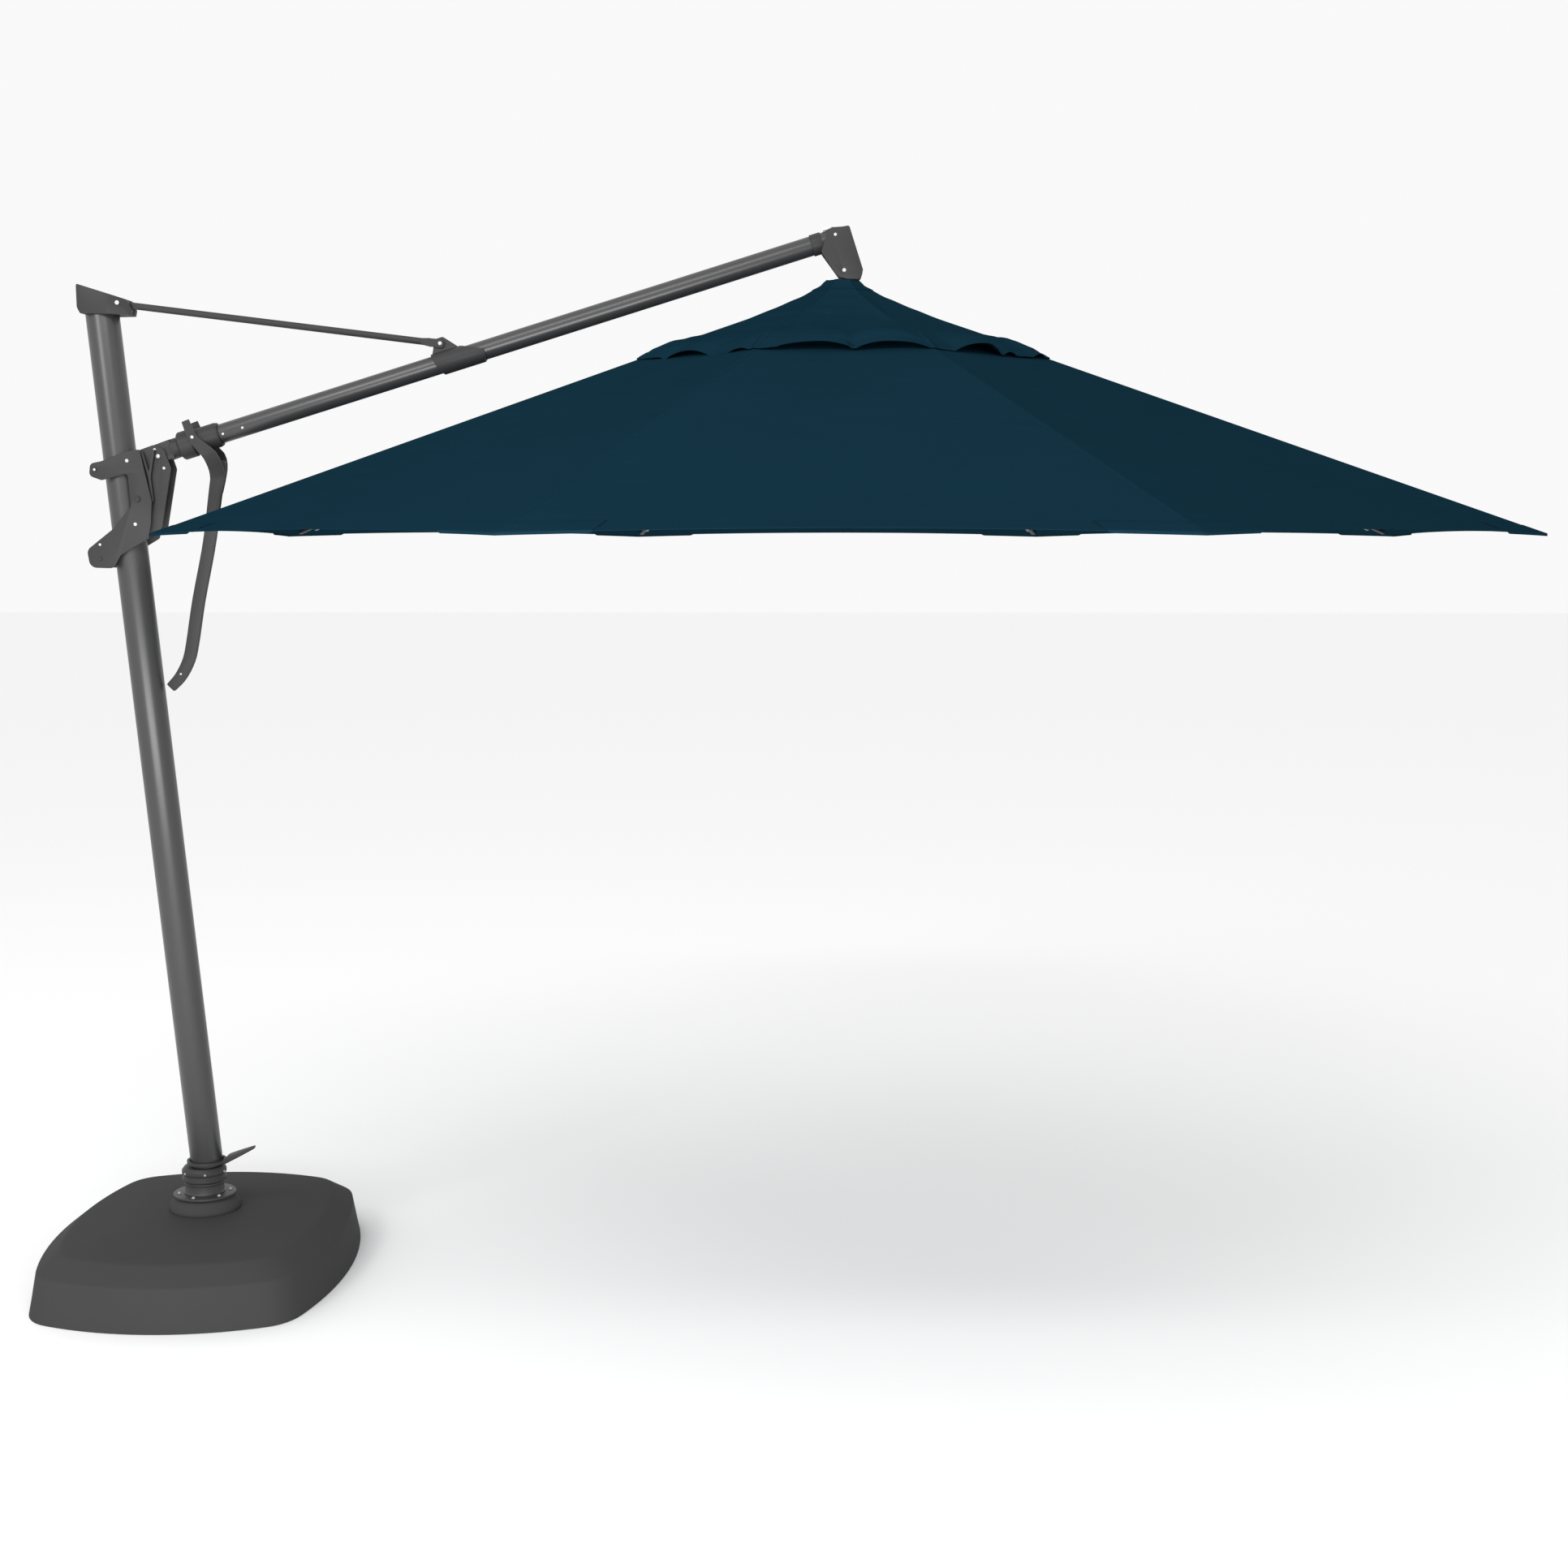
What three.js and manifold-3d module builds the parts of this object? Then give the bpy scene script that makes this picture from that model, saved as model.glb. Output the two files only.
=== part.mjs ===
// Cantilever patio umbrella on a weighted base. Millimetres, +Z up.
// The origin is on the floor under the swivel axis of the hub; +X runs towards the canopy.
import * as THREE from 'three';
import { mergeVertices } from 'three/addons/utils/BufferGeometryUtils.js';
import Module from 'manifold-3d';

const wasm = await Module();
wasm.setup();

// ---------------------------------------------------------------- driving dimensions
const GAP = 0.3;                       // air between touching pieces
const DEG = Math.PI / 180;

// Base: a bowed, round-cornered square that is deeper than it is wide.
const BASE_CENTRE = [-15, 15];
const BASE_DEPTH_RATIO = 1.25;
const BASE_FOOT = { half: 454, bow: 75, corner: 124, z: 0 };
const BASE_BELT = { half: 433, bow: 71, corner: 118, z: 125 };
const BASE_BROW = { half: 373, bow: 61, corner: 102, z: 172 };
const COVER_WALL = 4;
const COVER_MOUTH_R = 76;
const COVER_TOP_Z = 203;
const TRAY_HALF = 444;
const TRAY_THICK = 5;
const BASE_STEPS = 48;

// Hub: everything round the vertical swivel axis.
const COLLAR_FOOT_R = 108;
const COLLAR_TOP_Z = 244;
const FLANGE_R = 94;
const FLANGE_TOP_Z = 253;
const BARREL_R = 62;
const BARREL_TOP_Z = 290;
const SWIVEL_R = 67;
const SWIVEL_TOP_Z = 337;
const KINGPIN_R = 25;

// Mast: a round tube that leans away from the canopy.
const LEAN = 5.19 * DEG;
const MAST_R = 48.5;
const MAST_WALL = 3;
const MAST_X_AT_REF = -3;
const MAST_REF_Z = 479;
const MAST_FOOT_Z = 342;
const MAST_TOP_Z = 2921;

// Boom: a round tube that rises from the carriage to the knuckle over the canopy.
const BOOM_START = [-163, 2478];
const BOOM_RISE = 17.18 * DEG;
const BOOM_R = 28.5;
const BOOM_WALL = 2.5;
const BOOM_FROM = 166;
const BOOM_TO = 2196;

// Pivots, as [x, z] in the plane of symmetry.
const BOOM_PIVOT = [-62, 2498];
const TIE_TOP = [-156, 2941];
const TIE_FOOT = [776, 2827];
const HANDLE_PIVOT = [45, 2553];
const HEAD_PIVOT = [1965, 3033];
const UPPER_ROLLER = { at: [-244, 2458], r: 11 };
const LOWER_ROLLER = { at: [-236, 2196], r: 27 };
const BUTTON_AT = [-120, 2372];
const PIN_R = 6;

// Canopy: a regular octagon, corners at odd multiples of 22.5 degrees.
const CANOPY_X = 1960;
const SIDES = 8;
const CORNER_R = 1984;
const HEM_Z = 2267;
const HEM_ARCH = 22;
const CANOPY_FALL = 0.364;             // drop per unit of radius along a corner line
const VENT_HOLE_R = 250;
const FLAP_R = 622;
const FLAP_NECK_R = 50;
const FLAP_NECK_Z = 3005;
const FLAP_EDGE_Z = 2775;
const FLAP_ARCH = 12;
const FLAP_SAG = 11;
const CLOTH = 2.2;

// Canopy frame.
const RIB_HINGE_R = 64;
const RIB_HINGE_Z = 2951;
const RIB_SIZE = { wide: 14, tall: 18, wall: 1.5 };
const RIB_END_R = 1930;
const STRUT_JOINT_R = 999;
const STRUT_SIZE = { wide: 10, tall: 15, wall: 1.4 };
const STRUT_OFFSET = 13.5;
const STRUT_DROP = 5;                  // a strut's pin sits this far under its rib's middle
const RUNNER_HINGE_R = 40;
const RUNNER_HINGE_Z = 2490;
const POLE_R = 19;
const POLE_END_Z = 2400;
const HUB_LOW = 2929;

// ---------------------------------------------------------------- materials
const finish = (color, roughness, metalness) => (
  new THREE.MeshStandardMaterial({ color, roughness, metalness }));
const POWDER_COAT = finish(0x55575a, 0.55, 0.4);
const CASTING = finish(0x4b4d50, 0.6, 0.35);
const BASE_PLASTIC = finish(0x3e3f41, 0.75, 0.0);
const CONCRETE = finish(0x8a8883, 0.95, 0.0);
const NYLON = finish(0x2a2b2d, 0.6, 0.0);
const ALLOY = finish(0x6b6d70, 0.45, 0.6);
const CANVAS = finish(0x12303e, 0.95, 0.0);

const umbrella = new THREE.Group();

/** Names a geometry, gives it a finish and adds it to the umbrella. */
function put(name, geometry, material) {
  const mesh = new THREE.Mesh(geometry, material);
  mesh.name = name;
  umbrella.add(mesh);
  return mesh;
}

// ---------------------------------------------------------------- solids
/** Turns a closed geometry into a solid that can be cut and joined. */
function solid(geometry) {
  const bare = geometry.clone();
  bare.deleteAttribute('normal');
  bare.deleteAttribute('uv');
  const merged = mergeVertices(bare, 1e-4);
  const vertProperties = new Float32Array(merged.attributes.position.array);
  const triVerts = new Uint32Array(merged.index.array);
  return new wasm.Manifold(new wasm.Mesh({ numProp: 3, vertProperties, triVerts }));
}

/** Turns a solid back into a geometry. */
function shell(body) {
  const mesh = body.getMesh();
  const geometry = new THREE.BufferGeometry();
  geometry.setAttribute('position', new THREE.BufferAttribute(new Float32Array(mesh.vertProperties), 3));
  geometry.setIndex(new THREE.BufferAttribute(new Uint32Array(mesh.triVerts), 1));
  geometry.computeVertexNormals();
  return geometry;
}

const join = (...geometries) => shell(geometries.map(solid).reduce((a, b) => a.add(b)));
const cut = (body, ...tools) => shell(tools.map(solid).reduce((a, b) => a.subtract(b), solid(body)));
const common = (a, b) => shell(solid(a).intersect(solid(b)));

/** A polygon whose corners [x, z, radius] are rounded where a radius is given. */
function rounded(corners, steps = 3) {
  const shape = [];
  const count = corners.length;
  corners.forEach(([x, z, radius = 0], i) => {
    const corner = new THREE.Vector2(x, z);
    if (radius === 0) {
      shape.push(corner);
      return;
    }
    const before = new THREE.Vector2(...corners[(i + count - 1) % count]).sub(corner).normalize();
    const after = new THREE.Vector2(...corners[(i + 1) % count]).sub(corner).normalize();
    const half = Math.acos(THREE.MathUtils.clamp(before.dot(after), -1, 1)) / 2;
    const back = radius / Math.tan(half);
    const from = corner.clone().addScaledVector(before, back);
    const to = corner.clone().addScaledVector(after, back);
    const bisector = before.clone().add(after).normalize();
    const centre = corner.clone().addScaledVector(bisector, radius / Math.sin(half));
    const start = Math.atan2(from.y - centre.y, from.x - centre.x);
    let sweep = Math.atan2(to.y - centre.y, to.x - centre.x) - start;
    sweep = Math.atan2(Math.sin(sweep), Math.cos(sweep));
    for (let k = 0; k <= steps; k += 1) {
      const angle = start + (sweep * k) / steps;
      shape.push(new THREE.Vector2(centre.x + radius * Math.cos(angle), centre.y + radius * Math.sin(angle)));
    }
  });
  return shape;
}

/** A round hole of radius r about [x, z], for a plate. */
function roundHole([x, z], r) {
  const path = new THREE.Path();
  path.absarc(x, z, r, 0, 2 * Math.PI, true);
  return path;
}

/** A plate in the XZ plane between two Y values, with optional holes. */
function plate(outline, yFrom, yTo, holes = []) {
  const anticlockwise = THREE.ShapeUtils.isClockWise(outline) ? [...outline].reverse() : outline;
  const shape = new THREE.Shape(anticlockwise);
  shape.holes.push(...holes);
  const depth = yTo - yFrom;
  const geometry = new THREE.ExtrudeGeometry(shape, { depth, bevelEnabled: false, curveSegments: 6 });
  geometry.rotateX(Math.PI / 2);
  return geometry.translate(0, yTo, 0);
}

/** A body of revolution about +Z from [radius, z] points. */
function turned(profile, segments = 24) {
  const points = profile.map(([r, z]) => new THREE.Vector2(r, z));
  const geometry = new THREE.LatheGeometry(points, segments);
  geometry.rotateX(Math.PI / 2);
  return geometry;
}

/** A closed ring profile for turned(): inner radius, outer radius and two heights. */
const ringProfile = (inner, outer, low, high) => [
  [inner, low], [outer, low], [outer, high], [inner, high], [inner, low],
];

/** A solid round bar along Y at [x, z]. */
function crossPin([x, z], r, yFrom, yTo, segments = 12) {
  const geometry = new THREE.CylinderGeometry(r, r, yTo - yFrom, segments);
  return geometry.translate(x, (yFrom + yTo) / 2, 0).translate(0, 0, z);
}

/** The mast's axis at height z. */
const mastX = (z) => MAST_X_AT_REF - Math.tan(LEAN) * (z - MAST_REF_Z);

/** The x at height z that lies a distance out from the mast's axis, square to it. */
const besideMast = (z, out) => mastX(z) + out / Math.cos(LEAN);

/** Stands a body, made along +Z from its own origin, on the mast's axis at height z. */
function alongMast(geometry, z) {
  return geometry.rotateY(-LEAN).translate(mastX(z), 0, z);
}

/** A point at distance s along the boom and n square to it, as [x, z]. */
function onBoom(s, n) {
  return [
    BOOM_START[0] + s * Math.cos(BOOM_RISE) - n * Math.sin(BOOM_RISE),
    BOOM_START[1] + s * Math.sin(BOOM_RISE) + n * Math.cos(BOOM_RISE),
  ];
}

/** Lays a body, made along +Z from its own origin, along the boom's axis. */
function alongBoom(geometry) {
  return geometry.rotateY(Math.PI / 2 - BOOM_RISE).translate(BOOM_START[0], 0, BOOM_START[1]);
}

/** A band of even width along a smooth centre line of [x, z] points. */
function band(points, width, samples) {
  const curve = new THREE.CatmullRomCurve3(points.map(([x, z]) => new THREE.Vector3(x, 0, z)));
  const left = [];
  const right = [];
  for (let i = 0; i <= samples; i += 1) {
    const at = curve.getPoint(i / samples);
    const along = curve.getTangent(i / samples);
    left.push(new THREE.Vector2(at.x - (along.z * width) / 2, at.z + (along.x * width) / 2));
    right.push(new THREE.Vector2(at.x + (along.z * width) / 2, at.z - (along.x * width) / 2));
  }
  return [...left, ...right.reverse()];
}

/**
 * A closed solid from rings of points, each ring joined to the next and the last to the first.
 * From ring `turn` on, the quads are cut along their other diagonal, so that a thin skin's two faces match.
 */
function ringLoft(rings, turn = rings.length) {
  const count = rings[0].length;
  const positions = rings.flat().flat();
  const index = [];
  rings.forEach((_, row) => {
    const next = (row + 1) % rings.length;
    for (let i = 0; i < count; i += 1) {
      const j = (i + 1) % count;
      const [a, b, c, d] = [row * count + i, row * count + j, next * count + j, next * count + i];
      index.push(...(row < turn ? [a, b, c, a, c, d] : [a, b, d, b, c, d]));
    }
  });
  const geometry = new THREE.BufferGeometry();
  geometry.setAttribute('position', new THREE.Float32BufferAttribute(positions, 3));
  geometry.setIndex(index);
  geometry.computeVertexNormals();
  return geometry;
}

// ---------------------------------------------------------------- base
/** Radius of the bowed square at an angle from the middle of a side. */
function bowedRadius(angle, { half, bow, corner }) {
  const quarter = Math.PI / 2;
  const folded = Math.abs(angle - quarter * Math.round(angle / quarter));
  const chord = half - bow;
  const sideR = (chord * chord + bow * bow) / (2 * bow);
  const sideCentre = half - sideR;
  const lead = Math.SQRT2 * sideCentre;
  const spread = sideCentre ** 2 - (sideR - corner) ** 2;
  const cornerCentre = (lead + Math.sqrt(lead * lead - 4 * spread)) / 2;
  const across = cornerCentre * Math.SQRT1_2;
  const touch = Math.atan2(across, across - sideCentre);
  const touchAngle = Math.atan2(sideR * Math.sin(touch), sideCentre + sideR * Math.cos(touch));
  if (folded <= touchAngle) {
    return sideCentre * Math.cos(folded) + Math.sqrt(sideR ** 2 - (sideCentre * Math.sin(folded)) ** 2);
  }
  const off = Math.PI / 4 - folded;
  return cornerCentre * Math.cos(off) + Math.sqrt(corner ** 2 - (cornerCentre * Math.sin(off)) ** 2);
}

/** A ring of the base, moved in by an inset; round is 0 for the bowed square and 1 for a hub circle. */
function baseRing(form, z, inset = 0, round = 0, circleR = 0) {
  const ring = [];
  for (let i = 0; i < BASE_STEPS; i += 1) {
    const angle = (2 * Math.PI * i) / BASE_STEPS;
    const r = bowedRadius(angle, form) - inset;
    const squareX = BASE_CENTRE[0] + r * Math.cos(angle);
    const squareY = BASE_CENTRE[1] + BASE_DEPTH_RATIO * r * Math.sin(angle);
    const x = THREE.MathUtils.lerp(squareX, circleR * Math.cos(angle), round);
    const y = THREE.MathUtils.lerp(squareY, circleR * Math.sin(angle), round);
    ring.push([x, y, z]);
  }
  return ring;
}

/** The moulded cover: a shell with a skirt, a belt, a brow and a shallow dome. */
function coverRings(inset, drop, mouthR) {
  const dome = [0.4, 0.75, 1].map((t) => {
    const rise = BASE_BROW.z + (COVER_TOP_Z - BASE_BROW.z) * Math.sin((t * Math.PI) / 2);
    return baseRing(BASE_BROW, rise - drop, inset, t, mouthR);
  });
  return [
    baseRing(BASE_FOOT, BASE_FOOT.z, inset),
    baseRing(BASE_BELT, BASE_BELT.z - drop, inset),
    baseRing(BASE_BROW, BASE_BROW.z - drop, inset),
    ...dome,
  ];
}

const coverOuter = coverRings(0, 0, COVER_MOUTH_R);
const coverInner = coverRings(COVER_WALL, COVER_WALL, COVER_MOUTH_R);
put('base_cover', ringLoft([...coverOuter, ...coverInner.reverse()]), BASE_PLASTIC);

/** A flat slab with the base's outline. */
function baseSlab(half, zLow, zHigh) {
  const form = { ...BASE_FOOT, half };
  const outline = baseRing(form, 0).map(([x, y]) => new THREE.Vector2(x, y));
  const depth = zHigh - zLow;
  const slab = new THREE.ExtrudeGeometry(new THREE.Shape(outline), { depth, bevelEnabled: false });
  return slab.translate(0, 0, zLow);
}

put('base_tray', baseSlab(TRAY_HALF, 0, TRAY_THICK), BASE_PLASTIC);

/** A box from its lowest to its highest corner. */
function block([x0, y0, z0], [x1, y1, z1]) {
  const geometry = new THREE.BoxGeometry(x1 - x0, y1 - y0, z1 - z0);
  return geometry.translate((x0 + x1) / 2, (y0 + y1) / 2, (z0 + z1) / 2);
}

const frameLow = TRAY_THICK + GAP;
const frameHigh = frameLow + 14;
const FRAME_HALF_WIDTH = 30;
put('cross_frame', join(
  block([-405, -FRAME_HALF_WIDTH, frameLow], [385, FRAME_HALF_WIDTH, frameHigh]),
  block([-FRAME_HALF_WIDTH, -510, frameLow], [FRAME_HALF_WIDTH, 540, frameHigh]),
), POWDER_COAT);

const ballastHigh = frameLow + 92;
const BALLAST_INNER = 84;
const BALLAST_REACH = [300, 370];
[[1, 1], [-1, 1], [-1, -1], [1, -1]].forEach(([sx, sy], i) => {
  const x = [sx * BALLAST_INNER, sx * BALLAST_REACH[0] + BASE_CENTRE[0]].sort((a, b) => a - b);
  const y = [sy * (FRAME_HALF_WIDTH + 4), sy * BALLAST_REACH[1]].sort((a, b) => a - b);
  put(`ballast_${i + 1}`, block([x[0], y[0], frameLow], [x[1], y[1], ballastHigh]), CONCRETE);
});

put('hub_post', turned([
  [0, frameHigh + GAP], [70, frameHigh + GAP], [70, frameHigh + 12], [44, frameHigh + 24],
  [44, FLANGE_TOP_Z - 2], [44, FLANGE_TOP_Z + GAP], [BARREL_R, FLANGE_TOP_Z + GAP],
  [BARREL_R, BARREL_TOP_Z - 3], [BARREL_R - 3, BARREL_TOP_Z], [KINGPIN_R, BARREL_TOP_Z],
  [KINGPIN_R, SWIVEL_TOP_Z - 20], [0, SWIVEL_TOP_Z - 20],
]), POWDER_COAT);

const collarLow = COVER_TOP_Z + GAP;
put('base_collar', turned([
  [46, collarLow], [COLLAR_FOOT_R, collarLow + 0.1], [COLLAR_FOOT_R, collarLow + 8],
  [COLLAR_FOOT_R - 4, collarLow + 20], [FLANGE_R - 6, COLLAR_TOP_Z - 6], [FLANGE_R - 12, COLLAR_TOP_Z],
  [46, COLLAR_TOP_Z], [46, collarLow],
], 32), BASE_PLASTIC);

put('hub_flange', turned(
  [[46, COLLAR_TOP_Z + GAP], [FLANGE_R - 4, COLLAR_TOP_Z + GAP], [FLANGE_R, COLLAR_TOP_Z + 3],
    [FLANGE_R, FLANGE_TOP_Z - 3], [FLANGE_R - 3, FLANGE_TOP_Z], [46, FLANGE_TOP_Z], [46, COLLAR_TOP_Z + GAP]],
  32,
), POWDER_COAT);

// ---------------------------------------------------------------- mast
const swivelLow = BARREL_TOP_Z + 1;
const swivelBody = turned([
  [0, SWIVEL_TOP_Z - 16], [KINGPIN_R + 0.5, SWIVEL_TOP_Z - 16], [KINGPIN_R + 0.5, swivelLow],
  [SWIVEL_R - 3, swivelLow], [SWIVEL_R, swivelLow + 3], [SWIVEL_R, SWIVEL_TOP_Z - 12],
  [SWIVEL_R - 9, SWIVEL_TOP_Z], [0, SWIVEL_TOP_Z],
], 28);
const SPIGOT = 110;
const spigot = alongMast(turned([[0, -6], [MAST_R - MAST_WALL - 0.6, -6], [MAST_R - MAST_WALL - 0.6, SPIGOT],
  [0, SPIGOT]], 28), MAST_FOOT_Z);
put('swivel_socket', join(swivelBody, spigot), CASTING);

const mastLength = (MAST_TOP_Z - MAST_FOOT_Z) / Math.cos(LEAN);
const mastWall = turned(ringProfile(MAST_R - MAST_WALL, MAST_R, 0, mastLength), 32);
put('mast_tube', alongMast(mastWall, MAST_FOOT_Z), POWDER_COAT);

/** The cap: a sloping casting with a plug in the mast and two cheeks for the tie rod's eye. */
function mastCap() {
  const side = plate(rounded([
    [-287, 2999, 5], [-286, 2932, 10], [-274, 2912, 4], [-133, 2909, 3], [-129, 2926, 6], [-143, 2954, 8],
  ]), -60, 60);
  const above = rounded([
    [-300, -52, 40], [-190, -54, 30], [-110, -20, 0], [-110, 20, 0], [-190, 54, 30], [-300, 52, 40],
  ]);
  const planShape = new THREE.ExtrudeGeometry(new THREE.Shape(above), { depth: 200, bevelEnabled: false });
  const body = common(side, planShape.translate(0, 0, 2850));
  const boreR = MAST_R + 0.45;
  const bore = alongMast(turned([[0, -100], [boreR, -100], [boreR, 3], [0, 3]], 32), MAST_TOP_Z);
  const plugR = MAST_R - MAST_WALL - 0.6;
  const plug = alongMast(turned([[0, -90], [plugR, -90], [plugR, 6], [0, 6]], 28), MAST_TOP_Z);
  const slot = block([-179, -11.5, 2880], [-100, 11.5, 3020]);
  return join(cut(body, bore, slot), plug);
}

put('mast_cap', mastCap(), CASTING);

/** The foot pedal: a ring round the mast's foot with a leaf-shaped blade. */
function footPedal() {
  const ringLow = 345;
  const centreX = mastX(ringLow + 5);
  const ringWall = ringProfile(MAST_R + 3.2, MAST_R + 11, ringLow, ringLow + 10);
  const ring = turned(ringWall, 32).translate(centreX, 0, 0);
  const blade = plate(rounded([
    [63, 346], [70, 345, 4], [160, 391, 4], [158, 397, 2], [74, 366, 12], [63, 356],
  ]), -40, 40);
  const leaf = new THREE.Shape();
  leaf.moveTo(50, -24);
  leaf.quadraticCurveTo(105, -30, 162, -7);
  leaf.quadraticCurveTo(166, 0, 162, 7);
  leaf.quadraticCurveTo(105, 30, 50, 24);
  leaf.closePath();
  const leafSolid = new THREE.ExtrudeGeometry(leaf, { depth: 120, bevelEnabled: false, curveSegments: 6 });
  const trimmed = common(blade, leafSolid.translate(0, 0, 300));
  return join(ring, trimmed);
}

put('foot_pedal', footPedal(), CASTING);

// ---------------------------------------------------------------- carriage
const SIDE_INNER = 50;
const SIDE_OUTER = 58;
const CHEEK_INNER = 27;
const CHEEK_OUTER = 33;
const AXLE_R = 5;
const WEB_OUT = MAST_R + 6;
const WEB_THICK = 12;
const BUTTON_R = 9;
const BUTTON_PROUD = 6;
const BUTTON_DEPTH = 4.3;               // the button's inner end clears the web when it is pressed

const sideOutline = rounded([
  [-110, 2517, 6], [-150, 2512, 10], [-224, 2483, 12], [-258, 2476, 14], [-262, 2440, 14], [-226, 2427, 10],
  [-148, 2447, 8], [-141, 2350, 22], [-198, 2283, 30], [-276, 2222, 22], [-268, 2170, 24], [-198, 2168, 22],
  [-176, 2206, 14], [-92, 2256, 10], [-83, 2300, 20], [-78, 2364, 14], [-98, 2458, 30],
]);

[['front', -SIDE_OUTER, -SIDE_INNER], ['back', SIDE_INNER, SIDE_OUTER]].forEach(([side, yFrom, yTo]) => {
  const holes = [roundHole(UPPER_ROLLER.at, AXLE_R + 0.4), roundHole(LOWER_ROLLER.at, AXLE_R + 0.4)];
  if (side === 'front') holes.push(roundHole(BUTTON_AT, BUTTON_R + 0.5));
  put(`carriage_side_${side}`, plate(sideOutline, yFrom, yTo, holes), CASTING);
});

/** The clevis: a web along the mast, two cheeks for the boom's root and a V-shaped gusset each side. */
function clevis() {
  const low = 2272;
  const high = 2512;
  const web = plate([
    new THREE.Vector2(besideMast(low, WEB_OUT), low),
    new THREE.Vector2(besideMast(low, WEB_OUT + WEB_THICK), low),
    new THREE.Vector2(besideMast(high, WEB_OUT + WEB_THICK), high),
    new THREE.Vector2(besideMast(high, WEB_OUT), high),
  ], -SIDE_INNER + GAP, SIDE_INNER - GAP);
  const cheekOutline = rounded([
    [besideMast(low, WEB_OUT + 4), low], [-70, 2272, 8], [-58, 2290, 8], [-26, 2462, 14], [-44, 2518, 12],
    [-76, 2531, 8], [besideMast(high, WEB_OUT + 4), high],
  ]);
  const hole = () => [roundHole(BOOM_PIVOT, PIN_R + 0.4)];
  const arms = [];
  [[-CHEEK_OUTER, -CHEEK_INNER], [CHEEK_INNER, CHEEK_OUTER]].forEach(([yFrom, yTo]) => {
    arms.push(plate(cheekOutline, yFrom, yTo, hole()));
  });
  const gusset = [
    [-109, 2510], [-103, 2510], [-87, 2452], [-74, 2516], [-68, 2516], [-82, 2436], [-75, 2364], [-81, 2364],
    [-90, 2436],
  ].map(([x, z]) => new THREE.Vector2(x, z));
  const outer = SIDE_INNER - GAP;
  return join(web, ...arms, plate(gusset, -outer, -CHEEK_OUTER + 1), plate(gusset, CHEEK_OUTER - 1, outer));
}

put('carriage_clevis', clevis(), CASTING);

/** A slide pad between the clevis and the mast. */
function glidePad(z) {
  const half = 26;
  const corners = [
    [besideMast(z - half, MAST_R + 0.6), z - half], [besideMast(z - half, WEB_OUT - GAP), z - half],
    [besideMast(z + half, WEB_OUT - GAP), z + half], [besideMast(z + half, MAST_R + 0.6), z + half],
  ];
  return plate(corners.map(([x, y]) => new THREE.Vector2(x, y)), -16, 16);
}

put('glide_pad_upper', glidePad(2476), NYLON);
put('glide_pad_lower', glidePad(2304), NYLON);

[['upper', UPPER_ROLLER], ['lower', LOWER_ROLLER]].forEach(([name, { at, r }]) => {
  put(`axle_${name}`, crossPin(at, AXLE_R, -SIDE_OUTER - 3, SIDE_OUTER + 3), ALLOY);
  const reach = SIDE_INNER - 1.5;
  const profile = [[AXLE_R + 0.5, -reach], [r - 2, -reach], [r, -reach + 2], [r, reach - 2], [r - 2, reach],
    [AXLE_R + 0.5, reach], [AXLE_R + 0.5, -reach]];
  const roller = turned(profile, 24).rotateX(Math.PI / 2).translate(at[0], 0, at[1]);
  put(`roller_${name}`, roller, NYLON);
});

const buttonEnds = [-SIDE_OUTER - BUTTON_PROUD, -SIDE_INNER - BUTTON_DEPTH];
put('lock_button', crossPin(BUTTON_AT, BUTTON_R, ...buttonEnds), NYLON);
put('boom_pin', crossPin(BOOM_PIVOT, PIN_R, -CHEEK_OUTER - 4, CHEEK_OUTER + 4), ALLOY);

// ---------------------------------------------------------------- boom
const ROOT_TUBE_FROM = 140;
const TONGUE_HALF = 26;

/** The boom's root: a tongue on the pin, a short tube and a spigot inside the boom. */
function boomRoot() {
  const pivotS = (BOOM_PIVOT[0] - BOOM_START[0]) * Math.cos(BOOM_RISE)
    + (BOOM_PIVOT[1] - BOOM_START[1]) * Math.sin(BOOM_RISE);
  const outline = rounded([
    [...onBoom(pivotS - 26, 24), 16], [...onBoom(pivotS - 26, -30), 18],
    [...onBoom(ROOT_TUBE_FROM + 6, -27)], [...onBoom(ROOT_TUBE_FROM + 6, 27)],
  ]);
  const tongue = plate(outline, -TONGUE_HALF, TONGUE_HALF, [roundHole(BOOM_PIVOT, PIN_R + 0.4)]);
  const spigotR = BOOM_R - BOOM_WALL - 0.6;
  const tube = alongBoom(turned([
    [0, ROOT_TUBE_FROM], [30, ROOT_TUBE_FROM], [30, BOOM_FROM - 1], [spigotR, BOOM_FROM - 1],
    [spigotR, BOOM_FROM + 160], [0, BOOM_FROM + 160],
  ], 28));
  return join(tongue, tube);
}

put('boom_root', boomRoot(), CASTING);

const boomWall = turned(ringProfile(BOOM_R - BOOM_WALL, BOOM_R, BOOM_FROM, BOOM_TO), 28);
put('boom_tube', alongBoom(boomWall), POWDER_COAT);

const TRUNNION_R = 8;
const COLLAR_FROM = 168;
const COLLAR_TO = 292;

/** The swivel collar on the boom, with a trunnion each side for the handle. */
function swivelCollar() {
  const bore = BOOM_R + 0.35;
  const body = alongBoom(turned([
    [bore, COLLAR_FROM], [39, COLLAR_FROM], [42, COLLAR_FROM + 4], [42, COLLAR_FROM + 42],
    [37, COLLAR_FROM + 46],
    [37, COLLAR_TO - 10], [34, COLLAR_TO], [bore, COLLAR_TO], [bore, COLLAR_FROM],
  ], 28));
  return join(body, crossPin(HANDLE_PIVOT, TRUNNION_R, -50, -34), crossPin(HANDLE_PIVOT, TRUNNION_R, 34, 50));
}

put('swivel_collar', swivelCollar(), CASTING);

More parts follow.
